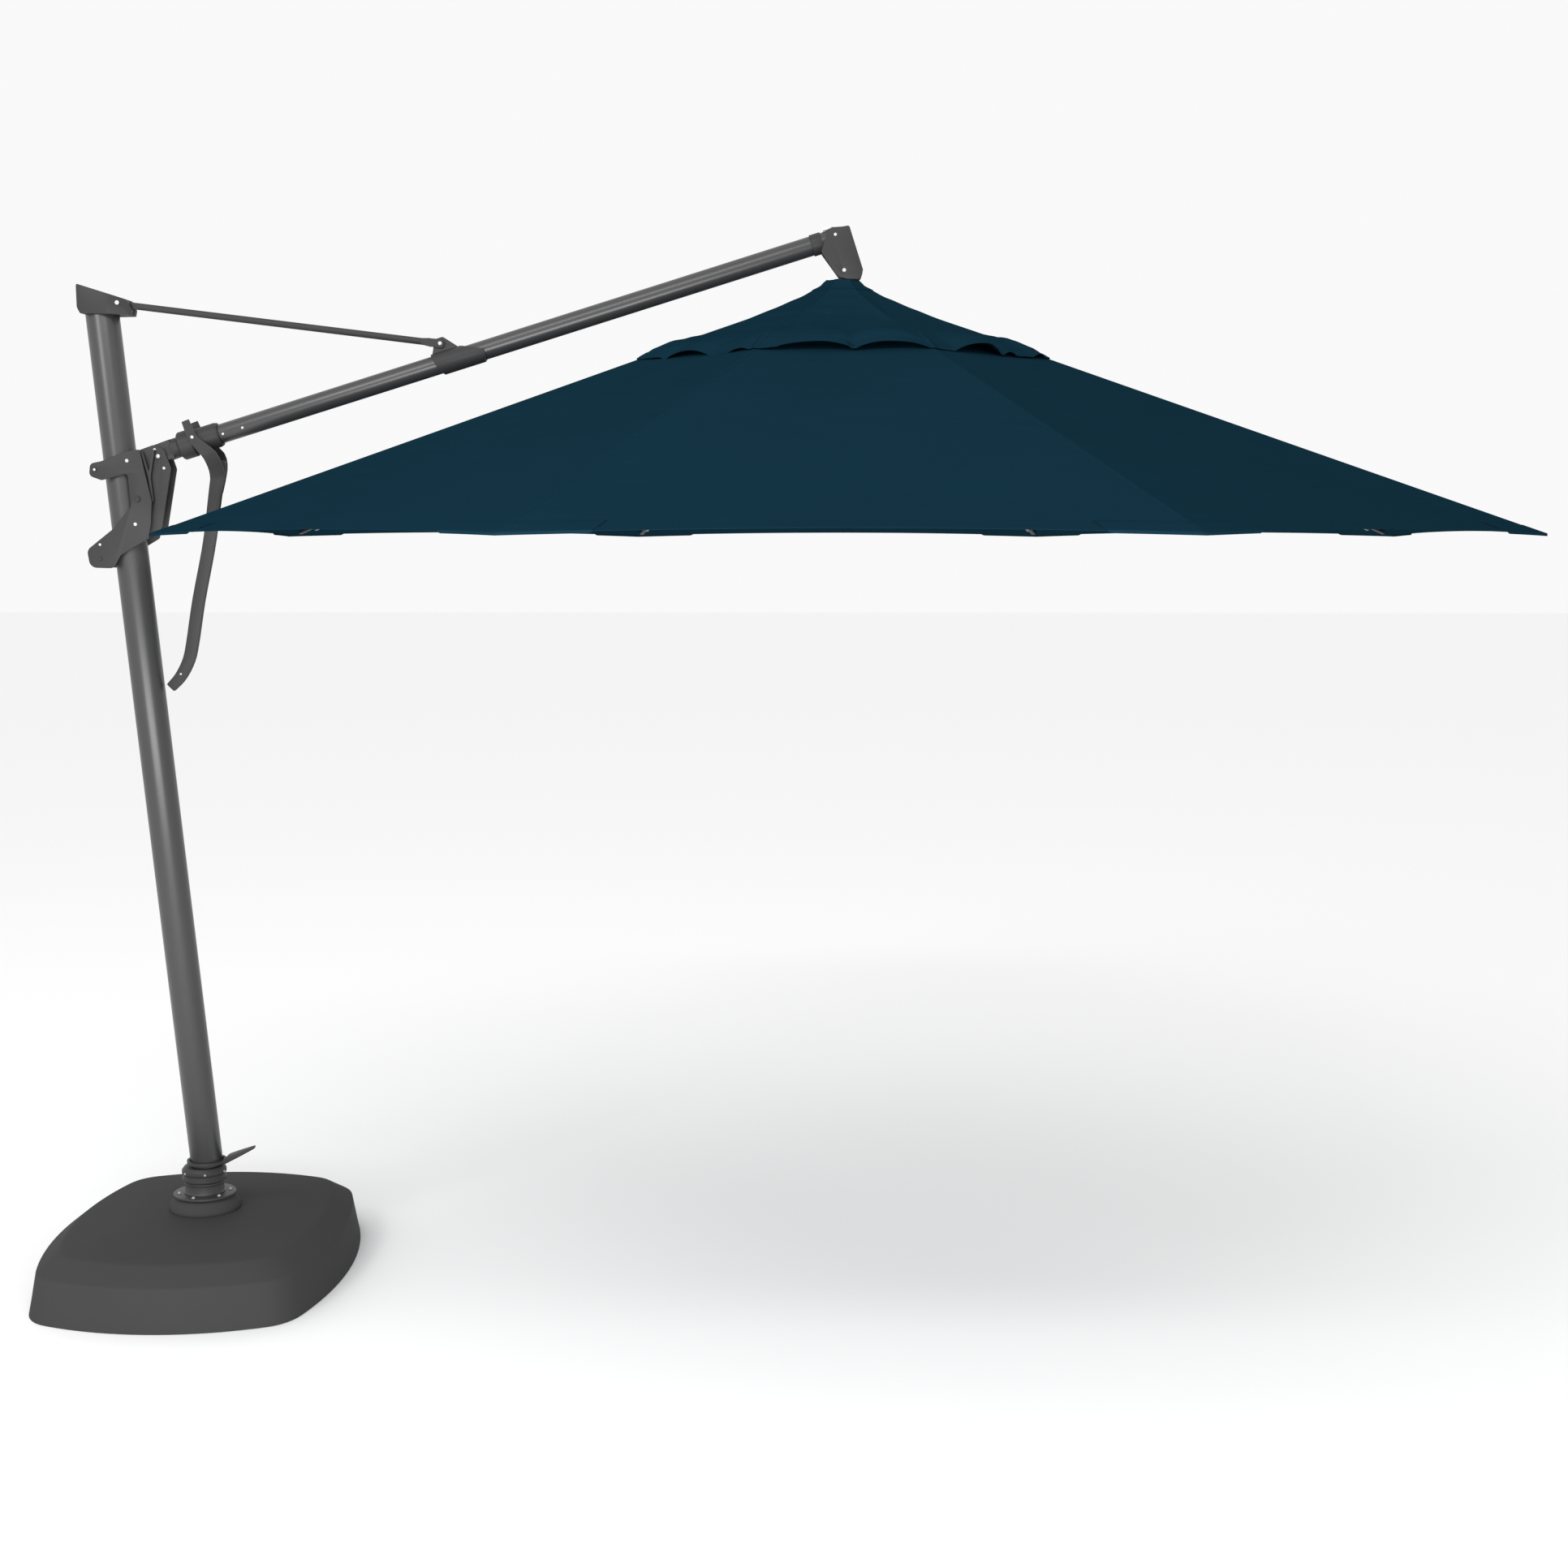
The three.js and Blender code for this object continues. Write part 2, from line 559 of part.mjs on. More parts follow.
/** The handle: a fork round the collar and a long curved blade that hangs beside the mast. */
function handle() {
  const forkLine = [[25, 2601], [45, 2553], [76, 2519], [102, 2492], [108, 2458]];
  const forkOutline = band(forkLine, 28, 14);
  const hole = () => [roundHole(HANDLE_PIVOT, TRUNNION_R + 0.4)];
  const front = plate(forkOutline, -49, -43, hole());
  const back = plate(forkOutline, 43, 49, hole());
  const bridge = plate(rounded([[92, 2494, 4], [121, 2494, 4], [120, 2456, 4], [90, 2456, 4]]), -45, 45);
  const bladeLine = [[107, 2485], [104, 2440], [94, 2383], [72, 2240], [35, 2074], [14, 1955], [1, 1895],
    [-26, 1845], [-62, 1806]];
  const blade = plate(band(bladeLine, 28, 26), -9, 9);
  return join(front, back, bridge, blade);
}

put('handle', handle(), CASTING);

/** The sleeve on the boom that carries the tie rod's foot on an ear. */
function tieSleeve() {
  const round = alongBoom(turned([[0, 955], [34, 955], [34, 1125], [0, 1125]], 28));
  const sideView = [
    [962, 34], [978, 34], [1052, 34], [1120, 2], [1121, -20], [1106, -40], [990, -40], [976, -20],
  ].map(([s, n]) => new THREE.Vector2(...onBoom(s, n)));
  const barrel = common(round, plate(sideView, -40, 40));
  const ear = plate(rounded([
    [...onBoom(966, 29.5)], [...onBoom(1050, 29.5)], [...onBoom(1013, 73), 8], [...onBoom(988, 73), 12],
  ]), -7, 7, [roundHole(TIE_FOOT, PIN_R + 0.4)]);
  const bore = alongBoom(turned([[0, 900], [BOOM_R + 0.35, 900], [BOOM_R + 0.35, 1200], [0, 1200]], 28));
  return cut(join(barrel, ear), bore);
}

put('tie_sleeve', tieSleeve(), CASTING);
put('tie_pin', crossPin(TIE_FOOT, PIN_R, -15, 15), ALLOY);

/** The tie rod: a round bar with a flat eye at the mast and a fork at the boom. */
function tieRod() {
  const reach = Math.hypot(TIE_FOOT[0] - TIE_TOP[0], TIE_FOOT[1] - TIE_TOP[1]);
  const fall = Math.atan2(TIE_TOP[1] - TIE_FOOT[1], TIE_FOOT[0] - TIE_TOP[0]);
  const onRod = (s, n) => [
    TIE_TOP[0] + s * Math.cos(fall) + n * Math.sin(fall),
    TIE_TOP[1] - s * Math.sin(fall) + n * Math.cos(fall),
  ];
  const bar = turned([[0, 24], [10, 24], [10, reach - 40], [0, reach - 40]], 12);
  bar.rotateY(Math.PI / 2 + fall).translate(TIE_TOP[0], 0, TIE_TOP[1]);
  const eye = plate(rounded([
    [...onRod(-11, 11), 9], [...onRod(-11, -11), 9], [...onRod(40, -8)], [...onRod(40, 8)],
  ]), -9, 9, [roundHole(TIE_TOP, PIN_R)]);
  const root = plate(rounded([
    [...onRod(reach - 56, -9)], [...onRod(reach - 30, -12)], [...onRod(reach - 30, 12)],
    [...onRod(reach - 56, 9)],
  ]), -13, 13);
  const cheekOutline = rounded([
    [...onRod(reach - 36, -11)], [...onRod(reach + 12, -13), 11], [...onRod(reach + 12, 13), 11],
    [...onRod(reach - 36, 11)],
  ]);
  const hole = () => [roundHole(TIE_FOOT, PIN_R + 0.4)];
  const cheeks = [plate(cheekOutline, -13, -7.6, hole()), plate(cheekOutline, 7.6, 13, hole())];
  return join(bar, eye, root, ...cheeks);
}

put('tie_rod', tieRod(), POWDER_COAT);

/** The knuckle: two plates and an end block at the boom's tip. */
function knuckle() {
  const outline = rounded([
    [1898, 3086, 4], [1951, 3014, 14], [1975, 3008, 10], [2012, 3008, 14], [2020, 3034, 12], [1979, 3161, 6],
    [1918, 3150, 5],
  ]);
  const hole = () => [roundHole(HEAD_PIVOT, PIN_R + 0.4)];
  const endBlock = plate([
    new THREE.Vector2(...onBoom(BOOM_TO + 1, -24)),
    new THREE.Vector2(2003, 3076), new THREE.Vector2(2014, 3052),
    new THREE.Vector2(1979, 3159), new THREE.Vector2(...onBoom(BOOM_TO + 1, 30)),
  ], -34, 34);
  return join(plate(outline, -36, -29, hole()), plate(outline, 29, 36, hole()), endBlock);
}

put('knuckle', knuckle(), CASTING);
put('head_pin', crossPin(HEAD_PIVOT, PIN_R, -40, 40), ALLOY);

// ---------------------------------------------------------------- canopy frame
/** Moves a body, made about the canopy's own axis, to its place. */
const overCanopy = (geometry) => geometry.translate(CANOPY_X, 0, 0);

/** Azimuth of corner i. */
const cornerAngle = (i) => ((i + 0.5) * 2 * Math.PI) / SIDES;

/** The upper hub: a slotted disc, a stem and a tongue on the knuckle's pin. */
function canopyHub() {
  const disc = turned([
    [0, HUB_LOW], [70, HUB_LOW], [76, HUB_LOW + 8], [76, HUB_LOW + 27], [70, HUB_LOW + 32], [30, HUB_LOW + 34],
    [24, HUB_LOW + 46], [24, 3010], [0, 3010],
  ], 32);
  const slots = [];
  for (let i = 0; i < SIDES; i += 1) {
    const slot = block([RIB_HINGE_R - 13, -8.2, 2900], [120, 8.2, 3040]);
    slots.push(slot.rotateZ(cornerAngle(i)));
  }
  const slotted = overCanopy(cut(disc, ...slots));
  const tongue = plate(rounded([
    [HEAD_PIVOT[0] - 17, 3000], [HEAD_PIVOT[0] + 17, 3000], [HEAD_PIVOT[0] + 17, HEAD_PIVOT[1] + 17, 14],
    [HEAD_PIVOT[0] - 17, HEAD_PIVOT[1] + 17, 14],
  ]), -13, 13, [roundHole(HEAD_PIVOT, PIN_R + 0.4)]);
  return join(slotted, tongue);
}

put('canopy_hub', canopyHub(), CASTING);
const poleWall = turned(ringProfile(POLE_R - 2, POLE_R, POLE_END_Z, HUB_LOW - 0.5));
put('centre_pole', overCanopy(poleWall), POWDER_COAT);

/** The runner: a slotted ring that slides on the centre pole. */
function runner() {
  const low = RUNNER_HINGE_Z - 12;
  const high = RUNNER_HINGE_Z + 12;
  const body = turned([
    [POLE_R + 0.6, low - 18], [32, low - 18], [48, low], [50, low + 4], [50, high - 3], [47, high],
    [28, high + 6], [POLE_R + 0.6, high + 6], [POLE_R + 0.6, low - 18],
  ], 32);
  const slots = [];
  for (let i = 0; i < SIDES; i += 1) {
    const slot = block([RUNNER_HINGE_R - 11, STRUT_OFFSET - 6, low - 30], [90, STRUT_OFFSET + 6, high + 30]);
    slots.push(slot.rotateZ(cornerAngle(i)));
  }
  return overCanopy(cut(body, ...slots));
}

put('runner', runner(), NYLON);

/** A hollow box-section bar along +X from its own origin. */
function hollowBar(length, { wide, tall, wall }) {
  const corners = (w, h) => [[-w, -h], [w, -h], [w, h], [-w, h]].map(([x, y]) => new THREE.Vector2(x, y));
  const section = new THREE.Shape(corners(tall / 2, wide / 2));
  section.holes.push(new THREE.Path(corners(tall / 2 - wall, wide / 2 - wall).reverse()));
  const bar = new THREE.ExtrudeGeometry(section, { depth: length, bevelEnabled: false });
  return bar.rotateY(Math.PI / 2);
}

const ribFall = Math.atan(CANOPY_FALL);
const RIB_HEEL = 9;                    // how far a rib runs past its hinge towards the pole
const ribReach = (RIB_END_R - RIB_HINGE_R) / Math.cos(ribFall);
const strutJointZ = RIB_HINGE_Z - CANOPY_FALL * (STRUT_JOINT_R - RIB_HINGE_R) - STRUT_DROP;
const strutRun = STRUT_JOINT_R - RUNNER_HINGE_R;
const strutRise = strutJointZ - RUNNER_HINGE_Z;
const strutReach = Math.hypot(strutRun, strutRise);
const strutSlope = Math.atan2(strutRise, strutRun);

for (let i = 0; i < SIDES; i += 1) {
  const rib = hollowBar(ribReach + RIB_HEEL, RIB_SIZE).translate(-RIB_HEEL, 0, 0);
  rib.rotateY(ribFall).translate(RIB_HINGE_R, 0, RIB_HINGE_Z).rotateZ(cornerAngle(i));
  put(`rib_${i + 1}`, overCanopy(rib), POWDER_COAT);
}

for (let i = 0; i < SIDES; i += 1) {
  const strut = hollowBar(strutReach + 12, STRUT_SIZE).translate(-6, STRUT_OFFSET, 0);
  strut.rotateY(-strutSlope).translate(RUNNER_HINGE_R, 0, RUNNER_HINGE_Z).rotateZ(cornerAngle(i));
  put(`strut_${i + 1}`, overCanopy(strut), POWDER_COAT);
}

// ---------------------------------------------------------------- canopy cloth
const SIDE_STEPS = 4;

/** A ring of the octagon at corner radius r, with its sides arched up in the middle. */
function octagonRing(r, cornerZ, arch) {
  const ring = [];
  for (let i = 0; i < SIDES; i += 1) {
    const from = cornerAngle(i);
    const to = cornerAngle(i + 1);
    for (let k = 0; k < SIDE_STEPS; k += 1) {
      const t = k / SIDE_STEPS;
      const x = CANOPY_X + r * ((1 - t) * Math.cos(from) + t * Math.cos(to));
      const y = r * ((1 - t) * Math.sin(from) + t * Math.sin(to));
      ring.push([x, y, cornerZ + arch * 4 * t * (1 - t)]);
    }
  }
  return ring;
}

/** A cloth skin between a hem and a neck, given as [corner radius, corner z, arch] rows. */
function cloth(rows) {
  const outer = rows.map(([r, z, arch]) => octagonRing(r, z, arch));
  const inner = rows.map(([r, z, arch]) => octagonRing(r - 0.4, z - CLOTH, arch));
  return ringLoft([...outer, ...inner.reverse()], outer.length);
}

const canopyZ = (r) => HEM_Z + CANOPY_FALL * (CORNER_R - r);
const canopyRows = [[CORNER_R, HEM_Z, HEM_ARCH], [1600, canopyZ(1600), 0], [1100, canopyZ(1100), 0],
  [FLAP_R, canopyZ(FLAP_R), 0], [VENT_HOLE_R, canopyZ(VENT_HOLE_R), 0]];
put('canopy_main', cloth(canopyRows), CANVAS);

/** Height of the flap's corner lines, which sag a little between the neck and the hem. */
function flapZ(r) {
  const share = (r - FLAP_NECK_R) / (FLAP_R - FLAP_NECK_R);
  return THREE.MathUtils.lerp(FLAP_NECK_Z, FLAP_EDGE_Z, share) - FLAP_SAG * Math.sin(Math.PI * share);
}

const FLAP_RINGS = [450, VENT_HOLE_R, 120];
const flapRows = [[FLAP_R, FLAP_EDGE_Z, FLAP_ARCH], ...FLAP_RINGS.map((r) => [r, flapZ(r), 0])];
put('canopy_vent', cloth([...flapRows, [FLAP_NECK_R, FLAP_NECK_Z, 0]]), CANVAS);

export default umbrella;
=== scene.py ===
"""Cantilever patio umbrella: the finished look of every piece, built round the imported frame.

The frame is in metres, +Z up, with the swivel axis through the origin and the canopy towards +X.
Piece shapes are written in millimetres and scaled when a piece is placed.
"""

import logging
import math
from collections.abc import Sequence
from dataclasses import dataclass, field
from enum import Enum

import bmesh
import bpy
import numpy as np
from mathutils import Matrix, Vector, noise


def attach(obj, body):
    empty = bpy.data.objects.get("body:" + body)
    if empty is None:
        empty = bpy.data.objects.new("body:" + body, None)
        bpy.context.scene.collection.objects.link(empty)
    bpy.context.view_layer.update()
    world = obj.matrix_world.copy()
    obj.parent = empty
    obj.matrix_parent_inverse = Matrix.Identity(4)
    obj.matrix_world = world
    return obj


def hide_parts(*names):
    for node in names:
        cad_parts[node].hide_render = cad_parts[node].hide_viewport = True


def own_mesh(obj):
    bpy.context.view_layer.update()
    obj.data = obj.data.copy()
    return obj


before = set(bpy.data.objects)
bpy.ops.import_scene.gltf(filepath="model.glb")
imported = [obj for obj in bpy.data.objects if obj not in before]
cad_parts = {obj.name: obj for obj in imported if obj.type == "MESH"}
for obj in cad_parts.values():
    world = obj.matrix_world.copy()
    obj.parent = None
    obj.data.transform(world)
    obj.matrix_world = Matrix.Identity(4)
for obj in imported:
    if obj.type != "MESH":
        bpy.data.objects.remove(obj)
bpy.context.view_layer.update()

LOG = logging.getLogger("umbrella")
MM = 0.001
FULL_TURN = 2 * math.pi
CREASE_DEG = 35.0
SIDES = 8

Point2 = tuple[float, float]
Point3 = tuple[float, float, float]
Corner = tuple[float, ...]

# Driving sizes shared by several sub-assemblies, in millimetres.
LEAN = math.radians(5.19)
MAST_R = 48.5
MAST_FOOT_Z = 342.0
MAST_TOP_Z = 2921.0
BOOM_START = (-163.0, 2478.0)
BOOM_RISE = math.radians(17.18)
BOOM_R = 28.5
BOOM_TO = 2196.0
CANOPY_X = 1960.0
CORNER_R = 1984.0
HEM_Z = 2267.0
CANOPY_FALL = 0.364
RIB_HINGE = (64.0, 2951.0)
RIB_END_R = 1930.0
RUNNER_HINGE = (40.0, 2490.0)
STRUT_JOINT_R = 999.0
STRUT_OFFSET = 13.5
STRUT_DROP = 5.0
HALF_GORE = math.pi / SIDES


class Slot(Enum):
    """The record's material slots."""

    BASE_PLASTIC = "base_plastic"
    STEEL_FRAME = "steel_frame"
    BALLAST = "ballast"
    TUBE_COAT = "tube_coat"
    CASTING_COAT = "casting_coat"
    NYLON = "nylon"
    FASTENER = "fastener"
    CLOTH = "canopy_cloth"


# ---------------------------------------------------------------- finishes
def wire(tree: bpy.types.NodeTree, links: Sequence[tuple[object, object]]) -> None:
    """Links pairs of sockets in a node tree.

    Args:
        tree: the node tree.
        links: (output socket, input socket) pairs.
    """
    for source, target in links:
        tree.links.new(source, target)


@dataclass(frozen=True)
class Finish:
    """A hard finish: one colour with a slight mottle and a fine grain in relief."""

    name: str
    colour: tuple[float, float, float]
    roughness: float
    metallic: float = 0.0
    specular: float = 0.5
    grain_mm: float = 1.2
    grain_depth_mm: float = 0.03
    mottle: float = 0.05
    mottle_mm: float = 240.0

    def material(self) -> bpy.types.Material:
        """Makes the material, once.

        Returns:
            The Blender material.
        """
        made = bpy.data.materials.get(self.name)
        if made:
            return made
        made = bpy.data.materials.new(self.name)
        made.use_nodes = True
        tree = made.node_tree
        shader = tree.nodes["Principled BSDF"]
        shader.inputs["Roughness"].default_value = self.roughness
        shader.inputs["Metallic"].default_value = self.metallic
        shader.inputs["Specular IOR Level"].default_value = self.specular
        place = tree.nodes.new("ShaderNodeTexCoord")
        grain = tree.nodes.new("ShaderNodeTexNoise")
        grain.inputs["Scale"].default_value = 1 / (self.grain_mm * MM)
        grain.inputs["Detail"].default_value = 2.0
        bump = tree.nodes.new("ShaderNodeBump")
        bump.inputs["Distance"].default_value = self.grain_depth_mm * MM
        patches = tree.nodes.new("ShaderNodeTexNoise")
        patches.inputs["Scale"].default_value = 1 / (self.mottle_mm * MM)
        patches.inputs["Detail"].default_value = 3.0
        blend = tree.nodes.new("ShaderNodeMix")
        blend.data_type = "RGBA"
        blend.inputs["A"].default_value = (*[c * (1 - self.mottle) for c in self.colour], 1)
        blend.inputs["B"].default_value = (*[c * (1 + self.mottle) for c in self.colour], 1)
        wire(tree, [
            (place.outputs["Object"], grain.inputs["Vector"]),
            (place.outputs["Object"], patches.inputs["Vector"]),
            (grain.outputs["Fac"], bump.inputs["Height"]),
            (bump.outputs["Normal"], shader.inputs["Normal"]),
            (patches.outputs["Fac"], blend.inputs["Factor"]),
            (blend.outputs["Result"], shader.inputs["Base Color"]),
        ])
        return made


@dataclass(frozen=True)
class Canvas:
    """Woven outdoor canvas: fine threads in relief and slubs that run along the weft."""

    name: str = "outdoor_canvas"
    colour: tuple[float, float, float] = (0.0049, 0.0222, 0.0362)
    roughness: float = 0.88
    thread_mm: float = 1.4
    thread_depth_mm: float = 0.10
    slub_mm: tuple[float, float] = (130.0, 5.0)
    slub_share: float = 0.20

    def material(self) -> bpy.types.Material:
        """Makes the material, once.

        Returns:
            The Blender material, which reads the piece's own UV map in metres.
        """
        made = bpy.data.materials.get(self.name)
        if made:
            return made
        made = bpy.data.materials.new(self.name)
        made.use_nodes = True
        tree = made.node_tree
        shader = tree.nodes["Principled BSDF"]
        shader.inputs["Roughness"].default_value = self.roughness
        shader.inputs["Specular IOR Level"].default_value = 0.0
        cloth = tree.nodes.new("ShaderNodeUVMap")
        cloth.uv_map = "cloth"
        stretch = tree.nodes.new("ShaderNodeMapping")
        stretch.inputs["Scale"].default_value = (1 / (self.slub_mm[0] * MM), 1 / (self.slub_mm[1] * MM), 1)
        slubs = tree.nodes.new("ShaderNodeTexNoise")
        slubs.inputs["Scale"].default_value = 1.0
        slubs.inputs["Detail"].default_value = 4.0
        patches = tree.nodes.new("ShaderNodeTexNoise")
        patches.inputs["Scale"].default_value = 2.2
        patches.inputs["Detail"].default_value = 3.0
        average = tree.nodes.new("ShaderNodeMix")
        average.inputs["Factor"].default_value = 0.35
        blend = tree.nodes.new("ShaderNodeMix")
        blend.data_type = "RGBA"
        blend.inputs["A"].default_value = (*[c * (1 - self.slub_share) for c in self.colour], 1)
        blend.inputs["B"].default_value = (*[c * (1 + self.slub_share) for c in self.colour], 1)
        turns = tree.nodes.new("ShaderNodeVectorMath")
        turns.operation = "SCALE"
        turns.inputs["Scale"].default_value = FULL_TURN / (self.thread_mm * MM)
        parts = tree.nodes.new("ShaderNodeSeparateXYZ")
        waves = []
        for _ in range(2):
            wave = tree.nodes.new("ShaderNodeMath")
            wave.operation = "SINE"
            waves.append(wave)
        weave = tree.nodes.new("ShaderNodeMath")
        weave.operation = "MULTIPLY"
        bump = tree.nodes.new("ShaderNodeBump")
        bump.inputs["Distance"].default_value = self.thread_depth_mm * MM
        bump.inputs["Strength"].default_value = 0.5
        wire(tree, [
            (cloth.outputs["UV"], stretch.inputs["Vector"]),
            (stretch.outputs["Vector"], slubs.inputs["Vector"]),
            (cloth.outputs["UV"], patches.inputs["Vector"]),
            (slubs.outputs["Fac"], average.inputs["A"]),
            (patches.outputs["Fac"], average.inputs["B"]),
            (average.outputs["Result"], blend.inputs["Factor"]),
            (blend.outputs["Result"], shader.inputs["Base Color"]),
            (cloth.outputs["UV"], turns.inputs[0]),
            (turns.outputs["Vector"], parts.inputs["Vector"]),
            (parts.outputs["X"], waves[0].inputs[0]),
            (parts.outputs["Y"], waves[1].inputs[0]),
            (waves[0].outputs["Value"], weave.inputs[0]),
            (waves[1].outputs["Value"], weave.inputs[1]),
            (weave.outputs["Value"], bump.inputs["Height"]),
            (bump.outputs["Normal"], shader.inputs["Normal"]),
        ])
        return made


TUBE_COAT = Finish(
    "tube_powder_coat", (0.036, 0.036, 0.037), 0.33, specular=0.6, grain_mm=1.2, grain_depth_mm=0.004,
)
CAST_COAT = Finish(
    "cast_powder_coat", (0.034, 0.034, 0.035), 0.48, specular=0.20, grain_mm=1.6, grain_depth_mm=0.05,
)
PLASTIC = Finish(
    "moulded_plastic", (0.049, 0.049, 0.050), 0.62, specular=0.02, grain_mm=1.5, grain_depth_mm=0.06,
)
NYLON = Finish("black_nylon", (0.016, 0.016, 0.017), 0.5, specular=0.3)
DULL_ZINC = Finish("dull_zinc", (0.30, 0.30, 0.30), 0.40, metallic=0.3, mottle=0.02)
ZINC = Finish("bright_zinc", (0.62, 0.62, 0.62), 0.35, metallic=0.3, mottle=0.02)
CONCRETE = Finish("cast_concrete", (0.42, 0.41, 0.39), 0.95, grain_mm=3.0, grain_depth_mm=0.5, mottle=0.15)
STEEL_COAT = Finish(
    "steel_powder_coat", (0.034, 0.034, 0.035), 0.45, specular=0.4, grain_mm=1.2, grain_depth_mm=0.006,
)
CANVAS = Canvas()


# ---------------------------------------------------------------- shaping
def rounded(corners: Sequence[Corner], chord: float = 1.6) -> list[Point2]:
    """Rounds the corners of a polygon.

    Args:
        corners: (x, z) or (x, z, radius) corners in order.
        chord: the shortest chord of a rounding.

    Returns:
        The outline's points.
    """
    outline: list[Point2] = []
    count = len(corners)
    for i, (x, z, *rest) in enumerate(corners):
        radius = rest[0] if rest else 0.0
        corner = Vector((x, z))
        if radius == 0:
            outline.append((x, z))
            continue
        before = (Vector(corners[(i - 1) % count][:2]) - corner).normalized()
        after = (Vector(corners[(i + 1) % count][:2]) - corner).normalized()
        half = math.acos(max(-1.0, min(1.0, before.dot(after)))) / 2
        back = radius / math.tan(half)
        start, end = corner + before * back, corner + after * back
        centre = corner + (before + after).normalized() * radius / math.sin(half)
        first = math.atan2(*(start - centre).yx)
        sweep = math.remainder(math.atan2(*(end - centre).yx) - first, FULL_TURN)
        steps = max(2, min(14, round(abs(sweep) * radius / chord)))
        for k in range(steps + 1):
            angle = first + sweep * k / steps
            outline.append((centre.x + radius * math.cos(angle), centre.y + radius * math.sin(angle)))
    return outline


def chain(bm: bmesh.types.BMesh, points: Sequence[Point3], closed: bool) -> list[object]:
    """Adds a line of vertices and edges.

    Args:
        bm: the mesh.
        points: where the vertices go.
        closed: whether the last vertex joins the first.

    Returns:
        The new vertices and edges.
    """
    verts = [bm.verts.new(p) for p in points]
    pairs = list(zip(verts, verts[1:] + verts[:1])) if closed else list(zip(verts, verts[1:]))
    return verts + [bm.edges.new(pair) for pair in pairs]


def turned(profile: Sequence[Corner], segments: int = 96, closed: bool = True) -> bmesh.types.BMesh:
    """Spins a profile about +Z.

    Args:
        profile: (radius, z) or (radius, z, rounding) corners.
        segments: steps in the full turn.
        closed: whether the profile is a loop, as for a ring, or runs from the axis to the axis.

    Returns:
        The mesh.
    """
    bm = bmesh.new()
    geom = chain(bm, [(r, 0.0, z) for r, z in rounded(profile, 0.8)], closed)
    bmesh.ops.spin(
        bm, geom=geom, cent=(0, 0, 0), axis=(0, 0, 1), angle=FULL_TURN, steps=segments, use_merge=True,
    )
    bmesh.ops.remove_doubles(bm, verts=bm.verts, dist=1e-4)
    return bm


def ring_profile(inner: float, outer: float, low: float, high: float, lip: float = 0.6) -> list[Corner]:
    """A ring's closed profile with softened edges."""
    return [(inner, low, lip), (outer, low, lip), (outer, high, lip), (inner, high, lip)]


def bevel_creases(
    bm: bmesh.types.BMesh, width: float, segments: int = 2, limit_deg: float = CREASE_DEG,
) -> None:
    """Bevels every edge that is sharper than a limit.

    Args:
        bm: the mesh.
        width: the bevel's width.
        segments: the bevel's steps.
        limit_deg: the smallest angle that counts as an edge.
    """
    limit = math.radians(limit_deg)
    sharp = [e for e in bm.edges if len(e.link_faces) == 2 and e.calc_face_angle(0.0) > limit]
    bmesh.ops.bevel(
        bm, geom=sharp, offset=width, offset_type="OFFSET", segments=segments, profile=0.5,
        affect="EDGES", clamp_overlap=True, material=-1,
    )


def plate(outline: Sequence[Point2], y_low: float, y_high: float, bevel: float = 1.0) -> bmesh.types.BMesh:
    """Extrudes an outline in the XZ plane along Y.

    Args:
        outline: the outline's points.
        y_low: one side.
        y_high: the other side.
        bevel: the width of the rim's bevel.

    Returns:
        The mesh.
    """
    bm = bmesh.new()
    face = bm.faces.new([bm.verts.new((x, y_low, z)) for x, z in outline])
    grown = bmesh.ops.extrude_face_region(bm, geom=[face])["geom"]
    moved = [g for g in grown if isinstance(g, bmesh.types.BMVert)]
    bmesh.ops.translate(bm, verts=moved, vec=(0, y_high - y_low, 0))
    bmesh.ops.recalc_face_normals(bm, faces=bm.faces)
    if bevel:
        bevel_creases(bm, bevel, limit_deg=50.0)
    return bm


def cast(node: str, bevel: float = 1.1) -> bmesh.types.BMesh:
    """A casting's mesh: a merged copy of its solid with softened edges.

    Args:
        node: the solid's name.
        bevel: the width of the softened edges.

    Returns:
        The mesh, in millimetres.
    """
    bm = bmesh.new()
    bm.from_mesh(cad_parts[node].data)
    bmesh.ops.scale(bm, vec=(1 / MM,) * 3, verts=bm.verts)
    bmesh.ops.remove_doubles(bm, verts=bm.verts, dist=0.01)
    bmesh.ops.dissolve_limit(bm, angle_limit=math.radians(0.8), verts=bm.verts, edges=bm.edges)
    bevel_creases(bm, bevel, limit_deg=38.0)
    return bm


def absorb(bm: bmesh.types.BMesh, *others: bmesh.types.BMesh) -> bmesh.types.BMesh:
    """Adds other meshes to a mesh.

    Args:
        bm: the mesh that grows.
        others: the meshes that are added and freed.

    Returns:
        The mesh that grew.
    """
    for other in others:
        carrier = bpy.data.meshes.new("carrier")
        other.to_mesh(carrier)
        other.free()
        bm.from_mesh(carrier)
        bpy.data.meshes.remove(carrier)
    return bm


def shifted(bm: bmesh.types.BMesh, matrix: Matrix) -> bmesh.types.BMesh:
    """Moves a mesh by a matrix and returns it."""
    bmesh.ops.transform(bm, matrix=matrix, verts=bm.verts)
    return bm


